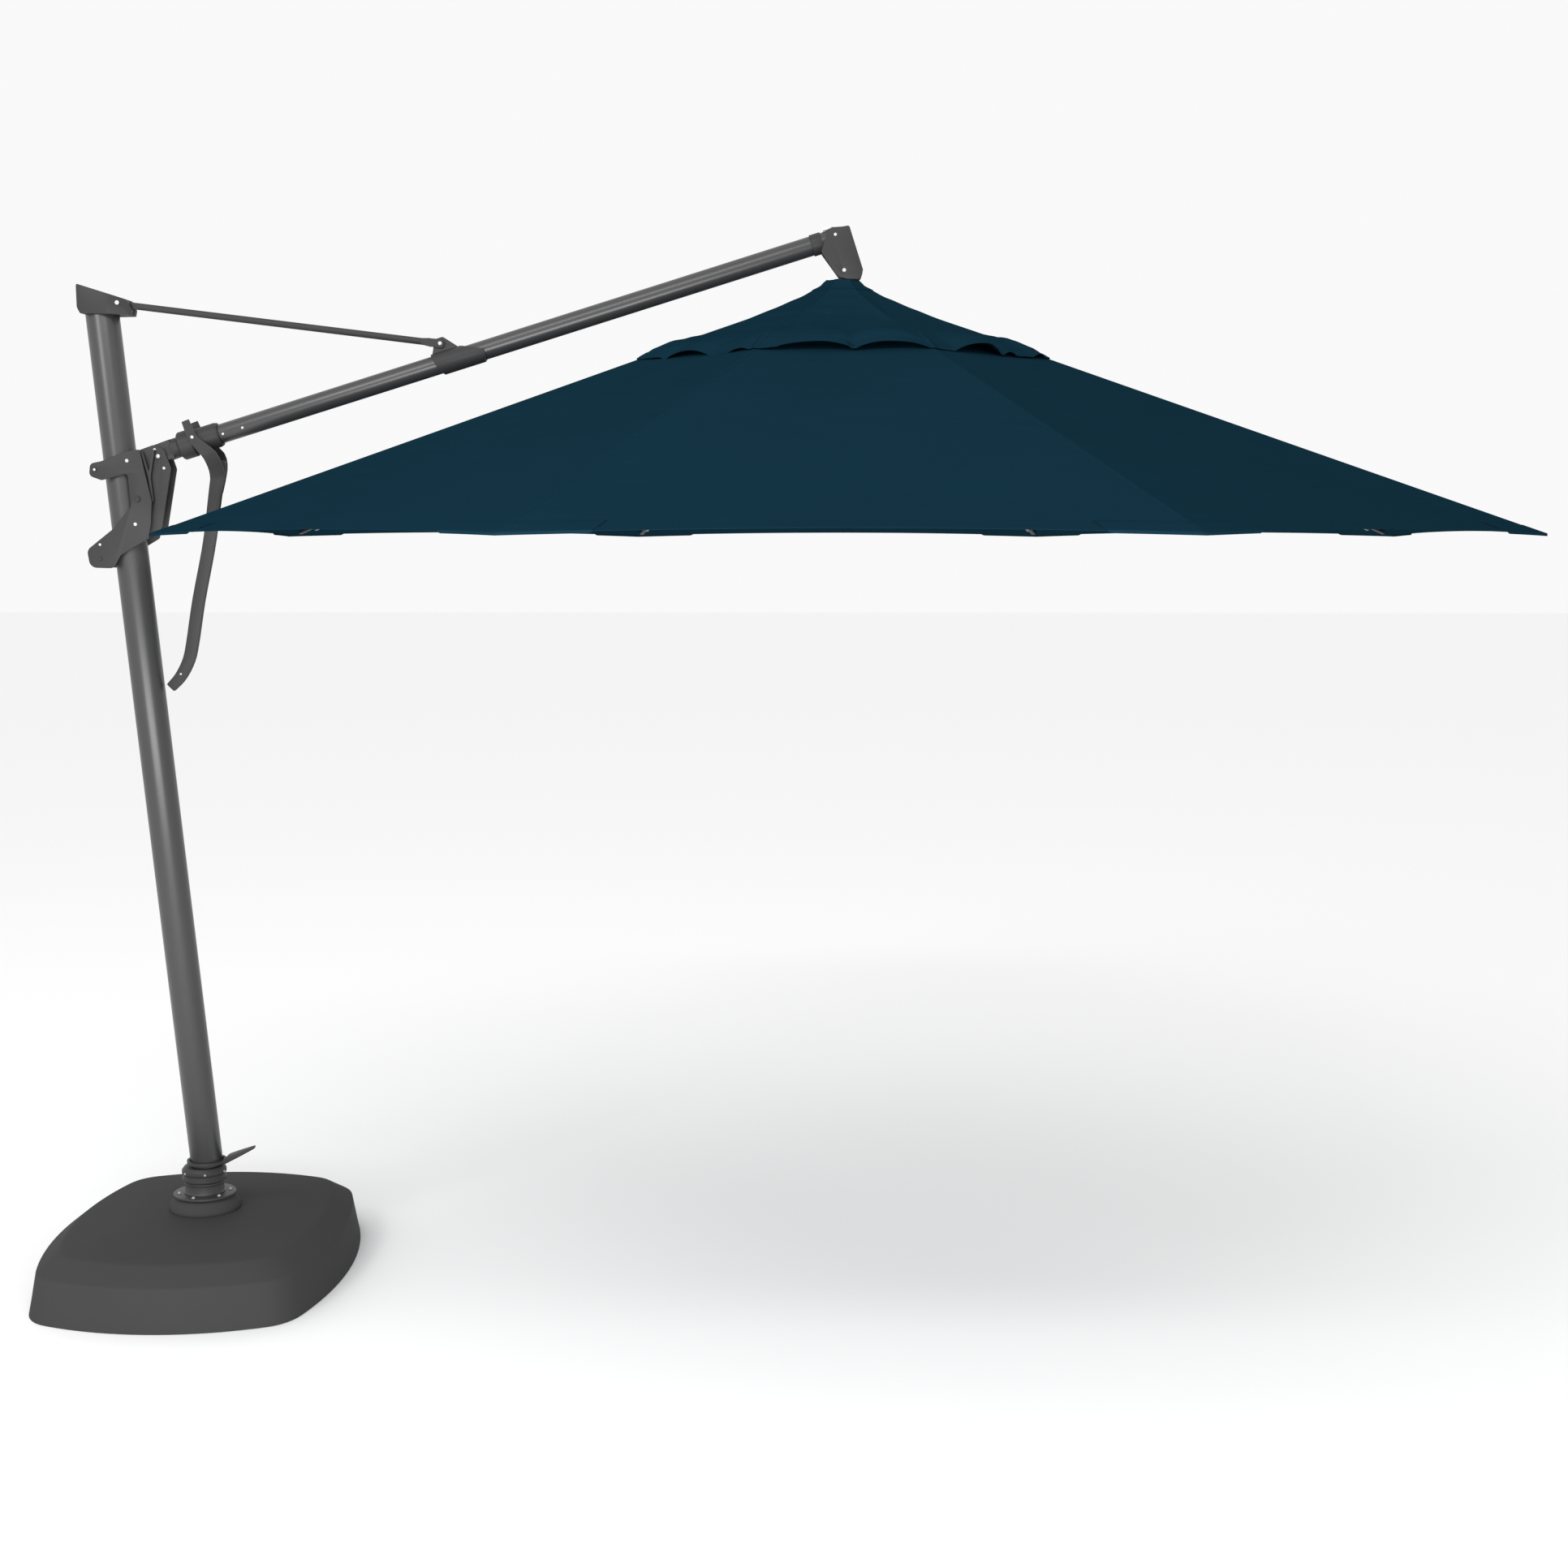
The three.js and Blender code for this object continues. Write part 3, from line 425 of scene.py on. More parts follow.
def strip(line: Sequence[Point3], steps: int) -> list[Point2]:
    """Outlines a strip round a smooth curve through points.

    Args:
        line: the (x, z, width) points of the middle line.
        steps: how many pieces the curve is cut into.

    Returns:
        The outline's points.
    """
    points = [Vector(p) for p in line]
    points = [2 * points[0] - points[1], *points, 2 * points[-1] - points[-2]]
    middle = []
    for k in range(steps + 1):
        at = (len(line) - 1) * k / steps
        i = min(int(at), len(line) - 2)
        t = at - i
        a, b, c, d = points[i : i + 4]
        curve = 2 * b + (c - a) * t + (2 * a - 5 * b + 4 * c - d) * t * t + (3 * b - a - 3 * c + d) * t**3
        middle.append(curve / 2)
    left, right = [], []
    for k, point in enumerate(middle):
        ahead = middle[min(k + 1, steps)] - middle[max(k - 1, 0)]
        square = Vector((-ahead.y, ahead.x)).normalized() * point.z / 2
        left.append(tuple(point.xy + square))
        right.append(tuple(point.xy - square))
    return left + right[::-1]


def ease(t: float) -> float:
    """A smooth step from 0 at 0 to 1 at 1."""
    t = max(0.0, min(1.0, t))
    return t * t * (3 - 2 * t)


def mast_x(z: float) -> float:
    """The x of the mast's axis at a height."""
    return -3.0 - math.tan(LEAN) * (z - 479.0)


def along_mast(z: float) -> Matrix:
    """Stands a body on the mast's axis at height z."""
    return Matrix.Translation((mast_x(z), 0, z)) @ Matrix.Rotation(-LEAN, 4, "Y")


def along_boom() -> Matrix:
    """Lays a body along the boom's axis."""
    start = Matrix.Translation((BOOM_START[0], 0, BOOM_START[1]))
    return start @ Matrix.Rotation(math.pi / 2 - BOOM_RISE, 4, "Y")


def on_boom(s: float, n: float) -> Point2:
    """The (x, z) of a point a distance s along the boom and n square to it."""
    c, d = math.cos(BOOM_RISE), math.sin(BOOM_RISE)
    return BOOM_START[0] + s * c - n * d, BOOM_START[1] + s * d + n * c


def place(
    name: str,
    bm: bmesh.types.BMesh,
    finish: Finish | Canvas,
    body: str,
    slot: Slot,
    stands_for: Sequence[str] = (),
    crease_deg: float = CREASE_DEG,
    keep_normals: bool = False,
) -> bpy.types.Object:
    """Turns a mesh in millimetres into a finished piece that rides on a body.

    Args:
        name: the piece's name.
        bm: its mesh, which is freed.
        finish: its finish.
        body: the body it rides on.
        slot: its material slot; not used.
        stands_for: the solids it replaces.
        crease_deg: the angle above which an edge is shaded sharp.
        keep_normals: whether the faces already point outwards.

    Returns:
        The piece's object.
    """
    if not keep_normals:
        bmesh.ops.recalc_face_normals(bm, faces=bm.faces)
    bmesh.ops.scale(bm, vec=(MM,) * 3, verts=bm.verts)
    limit = math.radians(crease_deg)
    for face in bm.faces:
        face.smooth = True
    for edge in bm.edges:
        edge.smooth = len(edge.link_faces) == 2 and edge.calc_face_angle(0.0) < limit
    mesh = bpy.data.meshes.new(name)
    bm.to_mesh(mesh)
    bm.free()
    mesh.materials.append(finish.material())
    piece = bpy.data.objects.new(name, mesh)
    bpy.context.scene.collection.objects.link(piece)
    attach(piece, body)
    if stands_for:
        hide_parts(*stands_for)
    LOG.info("%s: %d faces, rides on %s", name, len(mesh.polygons), body)
    return piece


def dress_node(node: str, finish: Finish) -> None:
    """Gives a solid that stays in view its finish.

    Args:
        node: the solid's name.
        finish: its finish.
    """
    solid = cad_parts[node]
    solid.data.materials.clear()
    solid.data.materials.append(finish.material())
    LOG.info("%s: kept, with %s", node, finish.name)


@dataclass(frozen=True)
class Screw:
    """A button-head screw with a round socket."""

    at: Point3
    towards: Point3
    radius: float = 4.6
    height: float = 3.0

    def mesh(self) -> bmesh.types.BMesh:
        """Builds the screw's head, with a short shank sunk into its seat.

        Returns:
            The mesh.
        """
        r, h = self.radius, self.height
        head = turned([
            (0, 0.45 * h), (0.34 * r, 0.45 * h), (0.40 * r, h), (0.72 * r, 0.90 * h), (0.95 * r, 0.5 * h),
            (r, 0.1 * h), (r, -1.5), (0, -1.5),
        ], 20, closed=False)
        turn = Vector((0, 0, 1)).rotation_difference(Vector(self.towards)).to_matrix().to_4x4()
        return shifted(head, Matrix.Translation(self.at) @ turn)


def place_screws(name: str, screws: Sequence[Screw], body: str, finish: Finish = ZINC) -> bpy.types.Object:
    """Places a set of screws as one piece.

    Args:
        name: the piece's name.
        screws: the screws.
        body: the body they ride on.
        finish: their finish.

    Returns:
        The piece's object.
    """
    bm = absorb(bmesh.new(), *[screw.mesh() for screw in screws])
    return place(name, bm, finish, body, Slot.FASTENER)


def both_sides(x: float, z: float, y: float, radius: float = 4.6) -> list[Screw]:
    """Two screws, one on each side of the plane of symmetry."""
    return [Screw((x, -y, z), (0, -1, 0), radius), Screw((x, y, z), (0, 1, 0), radius)]


# ---------------------------------------------------------------- base
@dataclass(frozen=True)
class BowedSquare:
    """A square with bowed sides and round corners, at a height."""

    half: float
    bow: float
    corner: float
    z: float

    def radius(self, angle: float) -> float:
        """The distance from the middle to the outline.

        Args:
            angle: the direction, in radians.

        Returns:
            The distance.
        """
        quarter = math.pi / 2
        folded = abs(angle - quarter * round(angle / quarter))
        chord = self.half - self.bow
        side_r = (chord * chord + self.bow * self.bow) / (2 * self.bow)
        side_c = self.half - side_r
        lead = math.sqrt(2) * side_c
        spread = side_c**2 - (side_r - self.corner) ** 2
        corner_c = (lead + math.sqrt(lead * lead - 4 * spread)) / 2
        across = corner_c * math.sqrt(0.5)
        touch = math.atan2(across, across - side_c)
        touch_angle = math.atan2(side_r * math.sin(touch), side_c + side_r * math.cos(touch))
        if folded <= touch_angle:
            return side_c * math.cos(folded) + math.sqrt(side_r**2 - (side_c * math.sin(folded)) ** 2)
        off = math.pi / 4 - folded
        return corner_c * math.cos(off) + math.sqrt(self.corner**2 - (corner_c * math.sin(off)) ** 2)


@dataclass
class WeightedBase:
    """The base: moulded cover, hub and the hidden ballast."""

    centre: Point2 = (-15.0, 15.0)
    depth_ratio: float = 1.25
    foot: BowedSquare = BowedSquare(454, 75, 124, 0)
    belt: BowedSquare = BowedSquare(433, 71, 118, 125)
    brow: BowedSquare = BowedSquare(373, 61, 102, 172)
    top_z: float = 203.0
    mouth_r: float = 76.0
    wall: float = 4.0
    steps: int = 168
    bolts: int = 6
    bolt_circle: float = 76.0

    def ring(self, form: BowedSquare, z: float) -> np.ndarray:
        """Lays out the outline's points at a height.

        Args:
            form: the bowed square.
            z: the height.

        Returns:
            One row of coordinates for each point.
        """
        rows = []
        for i in range(self.steps):
            angle = FULL_TURN * i / self.steps
            r = form.radius(angle)
            rows.append((
                self.centre[0] + r * math.cos(angle),
                self.centre[1] + self.depth_ratio * r * math.sin(angle),
                z,
            ))
        return np.array(rows)

    def mouth(self, z: float) -> np.ndarray:
        """Lays out the circle round the hub at a height.

        Args:
            z: the height.

        Returns:
            One row of coordinates for each point.
        """
        angles = np.arange(self.steps) * FULL_TURN / self.steps
        flat = np.full(self.steps, z)
        return np.stack([self.mouth_r * np.cos(angles), self.mouth_r * np.sin(angles), flat], axis=1)

    def rows(self) -> list[np.ndarray]:
        """The cover's rings from the floor to the hub, with soft edges at the belt and the brow.

        Returns:
            The rings.
        """
        foot, belt, brow = (self.ring(f, f.z) for f in (self.foot, self.belt, self.brow))
        tuck = self.ring(BowedSquare(self.foot.half - 4, self.foot.bow, self.foot.corner, 0), 0.0)
        rise = self.top_z - self.brow.z

        def dome(t: float) -> np.ndarray:
            """Lays out a ring of the shallow dome.

            Args:
                t: the place on the dome, 0 at the brow and 1 at the hub.

            Returns:
                One row of coordinates for each point.
            """
            level = brow * (1 - t) + self.mouth(self.brow.z) * t
            level[:, 2] = self.brow.z + rise * math.sin(t * math.pi / 2)
            return level

        def soften(a: np.ndarray, edge: np.ndarray, b: np.ndarray, back: float, on: float) -> list[np.ndarray]:
            """Rings that round an edge between two neighbours."""
            start, end = edge + (a - edge) * back, edge + (b - edge) * on
            return [start * (1 - t) ** 2 + edge * 2 * t * (1 - t) + end * t * t for t in np.linspace(0, 1, 7)]

        lifted = foot.copy()
        lifted[:, 2] = 4.0
        rows = [tuck, foot * [1, 1, 0] + [0, 0, 1.2], lifted]
        rows += [foot + (belt - foot) * t for t in (0.3, 0.6, 0.85)]
        rows += soften(foot, belt, brow, 0.03, 0.07)
        rows += [belt + (brow - belt) * t for t in (0.4, 0.65)]
        rows += soften(belt, brow, dome(0.1), 0.10, 0.30)
        rows += [dome(t) for t in np.linspace(0.1, 1.0, 14)]
        return rows

    def cover(self) -> None:
        """Builds the moulded cover."""
        bm = bmesh.new()
        rows = self.rows()
        ring = chain(bm, [tuple(p) for p in rows[0]], closed=True)
        edges = [g for g in ring if isinstance(g, bmesh.types.BMEdge)]
        verts = [g for g in ring if isinstance(g, bmesh.types.BMVert)]
        for row in rows[1:]:
            grown = bmesh.ops.extrude_edge_only(bm, edges=edges)["geom"]
            edges = [g for g in grown if isinstance(g, bmesh.types.BMEdge)]
            fresh = [g for g in grown if isinstance(g, bmesh.types.BMVert)]
            fresh_set = set(fresh)
            above = {}
            for vert in verts:
                above[vert] = next(e.other_vert(vert) for e in vert.link_edges if e.other_vert(vert) in fresh_set)
            verts = [above[vert] for vert in verts]
            for vert, point in zip(verts, row):
                vert.co = point
        cover = place(
            "cover_moulding", bm, PLASTIC, "base", Slot.BASE_PLASTIC, ["base_cover"], crease_deg=60.0,
        )
        wall = cover.modifiers.new("wall", "SOLIDIFY")
        wall.thickness = self.wall * MM
        wall.offset = -1.0

    def hub(self) -> None:
        """Builds the collar, the bolted flange and the barrel."""
        collar = turned([
            (60, 203.3), (108, 203.3, 1.5), (108, 212, 4), (104, 224, 6), (91, 237, 7), (82, 244, 1.5), (60, 244),
        ])
        place("hub_collar", collar, PLASTIC, "base", Slot.BASE_PLASTIC, ["base_collar"])
        flange = turned([(46, 244.3), (90, 244.3, 1), (94, 247, 1.5), (94, 253, 1.5), (46, 253)])
        place("hub_bolt_flange", flange, STEEL_COAT, "base", Slot.STEEL_FRAME, ["hub_flange"])
        barrel = turned([
            (0, 19.6), (70, 19.6, 1), (70, 31.3, 2), (44, 43.3), (44, 253.3), (62, 253.3, 1), (62, 256, 1),
            (59, 259, 2), (59, 282, 3), (62, 285, 1), (62, 290, 2), (25, 290), (25, 317, 2), (0, 317),
        ], closed=False)
        place("hub_barrel", barrel, STEEL_COAT, "base", Slot.STEEL_FRAME, ["hub_post"])
        screws = []
        for k in range(self.bolts):
            angle = FULL_TURN * (k + 0.32) / self.bolts
            at = (self.bolt_circle * math.cos(angle), self.bolt_circle * math.sin(angle), 253.0)
            screws.append(Screw(at, (0, 0, 1), 5.5, 5.0))
        place_screws("hub_bolts", screws, "base", DULL_ZINC)

    def inside(self) -> None:
        """Dresses the hidden tray, cross frame and ballast."""
        dress_node("base_tray", PLASTIC)
        dress_node("cross_frame", STEEL_COAT)
        for k in range(1, 5):
            block = cast(f"ballast_{k}", 6.0)
            place(f"ballast_block_{k}", block, CONCRETE, "base", Slot.BALLAST, [f"ballast_{k}"])

    def build(self) -> None:
        """Builds the whole base."""
        self.cover()
        self.hub()
        self.inside()


# ---------------------------------------------------------------- mast
@dataclass
class Mast:
    """The leaning mast with its swivel socket, cap and foot pedal."""

    wall: float = 3.0
    socket_r: float = 67.0
    socket_bolts: int = 6

    def shaft(self) -> None:
        """Builds the mast's tube."""
        length = (MAST_TOP_Z - MAST_FOOT_Z) / math.cos(LEAN)
        tube = turned(ring_profile(MAST_R - self.wall, MAST_R, 0, length), 128)
        shaft = shifted(tube, along_mast(MAST_FOOT_Z))
        place("mast_shaft", shaft, TUBE_COAT, "mast", Slot.TUBE_COAT, ["mast_tube"])

    def socket(self) -> None:
        """Builds the socket that turns on the hub, with its spigot in the mast."""
        r = self.socket_r
        body = turned([
            (0, 321), (25.5, 321), (25.5, 291), (r - 4, 291, 1), (r, 294, 2), (r, 303, 1.5), (r - 4, 306, 1.5),
            (r - 4, 313, 1.5), (r, 316, 1.5), (r, 326, 4), (r - 8, 336.5, 4), (0, 337),
        ], closed=False)
        spigot_r = MAST_R - self.wall - 0.6
        spigot = turned([(0, -6), (spigot_r, -6), (spigot_r, 110, 2), (0, 110)], 64, False)
        spigot = shifted(spigot, along_mast(MAST_FOOT_Z))
        socket = absorb(body, spigot)
        place("mast_socket", socket, CAST_COAT, "mast", Slot.CASTING_COAT, ["swivel_socket"])
        screws = []
        for k in range(self.socket_bolts):
            angle = FULL_TURN * (k + 0.79) / self.socket_bolts
            out = (math.cos(angle), math.sin(angle), 0.0)
            screws.append(Screw((out[0] * r, out[1] * r, 321.0), out, 4.0, 2.5))
        place_screws("socket_screws", screws, "mast", DULL_ZINC)

    def top(self) -> None:
        """Builds the cap and its cross screw."""
        place("mast_top_cap", cast("mast_cap", 1.6), CAST_COAT, "mast", Slot.CASTING_COAT, ["mast_cap"])
        place_screws("cap_screws", both_sides(-165, 2943, 47.5, 6.5), "mast")

    def pedal(self) -> None:
        """Builds the swivel lock's pedal."""
        place("pedal_lever", cast("foot_pedal", 1.6), CAST_COAT, "pedal", Slot.CASTING_COAT, ["foot_pedal"])

    def build(self) -> None:
        """Builds the whole mast."""
        self.shaft()
        self.socket()
        self.top()
        self.pedal()


# ---------------------------------------------------------------- carriage
@dataclass
class Carriage:
    """The carriage that slides on the mast: side castings, clevis, rollers and lock button."""

    inner: float = 50.0
    outer: float = 58.0
    outline: list[Corner] = field(default_factory=lambda: [
        (-110, 2517, 6), (-150, 2512, 10), (-224, 2483, 12), (-258, 2476, 14), (-262, 2440, 14), (-226, 2427, 10),
        (-148, 2447, 8), (-141, 2350, 22), (-198, 2283, 30), (-276, 2222, 22), (-268, 2170, 24), (-198, 2168, 22),
        (-176, 2206, 14), (-92, 2256, 10), (-83, 2300, 20), (-78, 2364, 14), (-98, 2458, 30),
    ])
    upper_roller: Point2 = (-244.0, 2458.0)
    lower_roller: Point2 = (-236.0, 2196.0)
    button: Point2 = (-120.0, 2372.0)

    def sides(self) -> None:
        """Builds the two side castings."""
        for side, low, high in (("front", -self.outer, -self.inner), ("back", self.inner, self.outer)):
            casting = plate(rounded(self.outline, 2.4), low, high, 1.6)
            place(
                f"side_casting_{side}", casting, CAST_COAT, "carriage",
                Slot.CASTING_COAT, [f"carriage_side_{side}"],
            )

    def clevis(self) -> None:
        """Builds the clevis that holds the boom's root."""
        casting = cast("carriage_clevis", 0.9)
        place("clevis_casting", casting, CAST_COAT, "carriage", Slot.CASTING_COAT, ["carriage_clevis"])

    def roller(self, name: str, at: Point2, radius: float, body: str) -> None:
        """Builds a roller and dresses its axle.

        Args:
            name: upper or lower.
            at: the axle's (x, z).
            radius: the roller's radius.
            body: the body that turns.
        """
        reach = self.inner - 1.5
        waist = radius - 2.0
        bm = turned([
            (5.5, -reach), (radius, -reach, 2), (radius, -reach + 10, 1), (waist, -reach + 13, 1),
            (waist, reach - 13, 1), (radius, reach - 10, 1), (radius, reach, 2), (5.5, reach),
        ], 64)
        turn = Matrix.Translation((at[0], 0, at[1])) @ Matrix.Rotation(math.pi / 2, 4, "X")
        place(f"roller_{name}_nylon", shifted(bm, turn), NYLON, body, Slot.NYLON, [f"roller_{name}"])
        axle = turned([(0, -62), (4.9, -62, 0.8), (4.9, 62, 0.8), (0, 62)], 32, closed=False)
        place(f"axle_{name}_bar", shifted(axle, turn), CAST_COAT, "carriage", Slot.FASTENER, [f"axle_{name}"])

    def fixings(self) -> None:
        """Builds the screws, the boom pin and the lock button."""
        y = self.outer
        screws = []
        for x, z in ((-148, 2484), (-129, 2298)):
            screws += both_sides(x, z, y, 5.4)
        screws += both_sides(*self.upper_roller, y + 3, 4.2)
        screws += both_sides(-236, 2238, y, 4.2)
        screws += both_sides(-72, 2517, 33, 4.6) + both_sides(-46, 2463, 33, 4.6)
        place_screws("carriage_screws", screws, "carriage")
        pin = absorb(bmesh.new(), *[s.mesh() for s in both_sides(-62, 2498, 36, 5.6)])
        bar = shifted(turned([(0, -37), (6, -37), (6, 37), (0, 37)], 32, closed=False),
                      Matrix.Translation((-62, 0, 2498)) @ Matrix.Rotation(math.pi / 2, 4, "X"))
        place("boom_pin_bolt", absorb(pin, bar), ZINC, "carriage", Slot.FASTENER, ["boom_pin"])
        knob = turned([
            (0, 4.3), (5, 5), (9, 6.5, 1.5), (9, 13.5, 2), (6, 14), (4.5, 13), (0, 13),
        ], 40, closed=False)
        seat = Matrix.Translation((self.button[0], -self.inner, self.button[1]))
        turn = seat @ Matrix.Rotation(math.pi / 2, 4, "X")
        place("lock_knob", shifted(knob, turn), CAST_COAT, "button", Slot.NYLON, ["lock_button"])
        for node in ("glide_pad_upper", "glide_pad_lower"):
            pad = cast(node, 1.5)
            place(f"{node}_nylon", pad, NYLON, "carriage", Slot.NYLON, [node])

    def build(self) -> None:
        """Builds the whole carriage."""
        self.sides()
        self.clevis()
        self.roller("upper", self.upper_roller, 11.0, "upper_roller")
        self.roller("lower", self.lower_roller, 27.0, "lower_roller")
        self.fixings()


# ---------------------------------------------------------------- boom
@dataclass
class Boom:
    """The boom with its root, swivel collar, tie sleeve, knuckle, handle and tie rod."""

    wall: float = 2.5
    start: float = 166.0
    tie_foot: Point2 = (776.0, 2827.0)
    head_pivot: Point2 = (1965.0, 3033.0)
    handle_pivot: Point2 = (45.0, 2553.0)
    blade_line: list[Point3] = field(default_factory=lambda: [
        (107, 2486, 44), (105, 2440, 43), (95, 2383, 39), (73, 2240, 37), (37, 2074, 37), (16, 1955, 37),
        (2, 1895, 36), (-24, 1845, 34), (-56, 1810, 30),
    ])
    arm_line: list[Point3] = field(default_factory=lambda: [
        (25, 2601, 22), (45, 2553, 28), (70, 2526, 33), (94, 2500, 43), (105, 2466, 45), (105, 2434, 43),
        (98, 2395, 38),
    ])

    def tube(self) -> None:
        """Builds the boom's tube."""
        tube = turned(ring_profile(BOOM_R - self.wall, BOOM_R, self.start, BOOM_TO), 96)
        place("boom_shaft", shifted(tube, along_boom()), TUBE_COAT, "boom", Slot.TUBE_COAT, ["boom_tube"])
        band = shifted(turned(ring_profile(BOOM_R + 0.1, BOOM_R + 3.0, 2128, 2160, 1.0), 96), along_boom())
        place("boom_end_band", band, CAST_COAT, "boom", Slot.CASTING_COAT)

    def castings(self) -> None:
        """Builds the castings on the boom."""
        for name, node, body, bevel in (
            ("boom_root_casting", "boom_root", "boom_root", 1.6),
            ("roll_collar", "swivel_collar", "boom", 1.2),
            ("tie_clamp", "tie_sleeve", "boom_root", 1.4),
            ("knuckle_casting", "knuckle", "boom", 1.4),
            ("tie_bar", "tie_rod", "tie", 1.0),
        ):
            place(name, cast(node, bevel), CAST_COAT, body, Slot.CASTING_COAT, [node])

    def handle(self) -> None:
        """Builds the handle: two arms from the pivots that flow together into the long curved blade."""
        blade = plate(strip(self.blade_line, 28), -9, 9, 3.0)
        arms = []
        for side in (-1, 1):
            arm = plate(strip(self.arm_line, 14), -3.2, 3.2, 0)
            bmesh.ops.triangulate(arm, faces=arm.faces)
            cuts = [e for e in arm.edges if e.calc_length() > 6]
            bmesh.ops.subdivide_edges(arm, edges=cuts, cuts=3)
            for vert in arm.verts:
                turn = ease((2516 - vert.co.z) / 92.0)
                vert.co.y += side * (46.0 * (1 - turn) + 5.0 * turn)
            arms.append(arm)
        place("handle_bow", absorb(blade, *arms), CAST_COAT, "handle", Slot.CASTING_COAT, ["handle"])
        screws = both_sides(*self.handle_pivot, 50, 5.2) + both_sides(-22, 1852, 9, 3.4)
        place_screws("handle_screws", screws, "handle")

    def fixings(self) -> None:
        """Builds the boom's screws and pins."""
        c, s = math.cos(BOOM_RISE), math.sin(BOOM_RISE)
        tilt = math.radians(-11)
        screws = []
        for along in (306.0, 367.0):
            x, z = on_boom(along, BOOM_R * math.sin(tilt))
            y = -BOOM_R * math.cos(tilt)
            out = (-math.sin(tilt) * s, -math.cos(tilt), math.sin(tilt) * c)
            screws.append(Screw((x, y, z), out, 4.2))
            screws.append(Screw((x, -y, z), (out[0], -out[1], out[2]), 4.2))
        screws += both_sides(1939, 3135, 36, 5.0)
        place_screws("boom_screws", screws, "boom")
        tab = plate(rounded([(1902, 3149, 1.5), (1932, 3156, 1.5), (1931, 3163, 2), (1901, 3156, 2)]), -15, 15, 0.8)
        place("knuckle_tab", tab, ZINC, "boom", Slot.FASTENER)
        for name, at, half, body, node in (
            ("tie_bolt", self.tie_foot, 13.0, "boom_root", "tie_pin"),
            ("head_bolt", self.head_pivot, 36.0, "boom", "head_pin"),
        ):
            bolt = absorb(bmesh.new(), *[k.mesh() for k in both_sides(*at, half, 6.0)])
            bar = turned([(0, -half), (5.5, -half), (5.5, half), (0, half)], 32, closed=False)
            turn = Matrix.Translation((at[0], 0, at[1])) @ Matrix.Rotation(math.pi / 2, 4, "X")
            place(name, absorb(bolt, shifted(bar, turn)), ZINC, body, Slot.FASTENER, [node])

    def build(self) -> None:
        """Builds the whole boom."""
        self.tube()
        self.castings()
        self.handle()
        self.fixings()


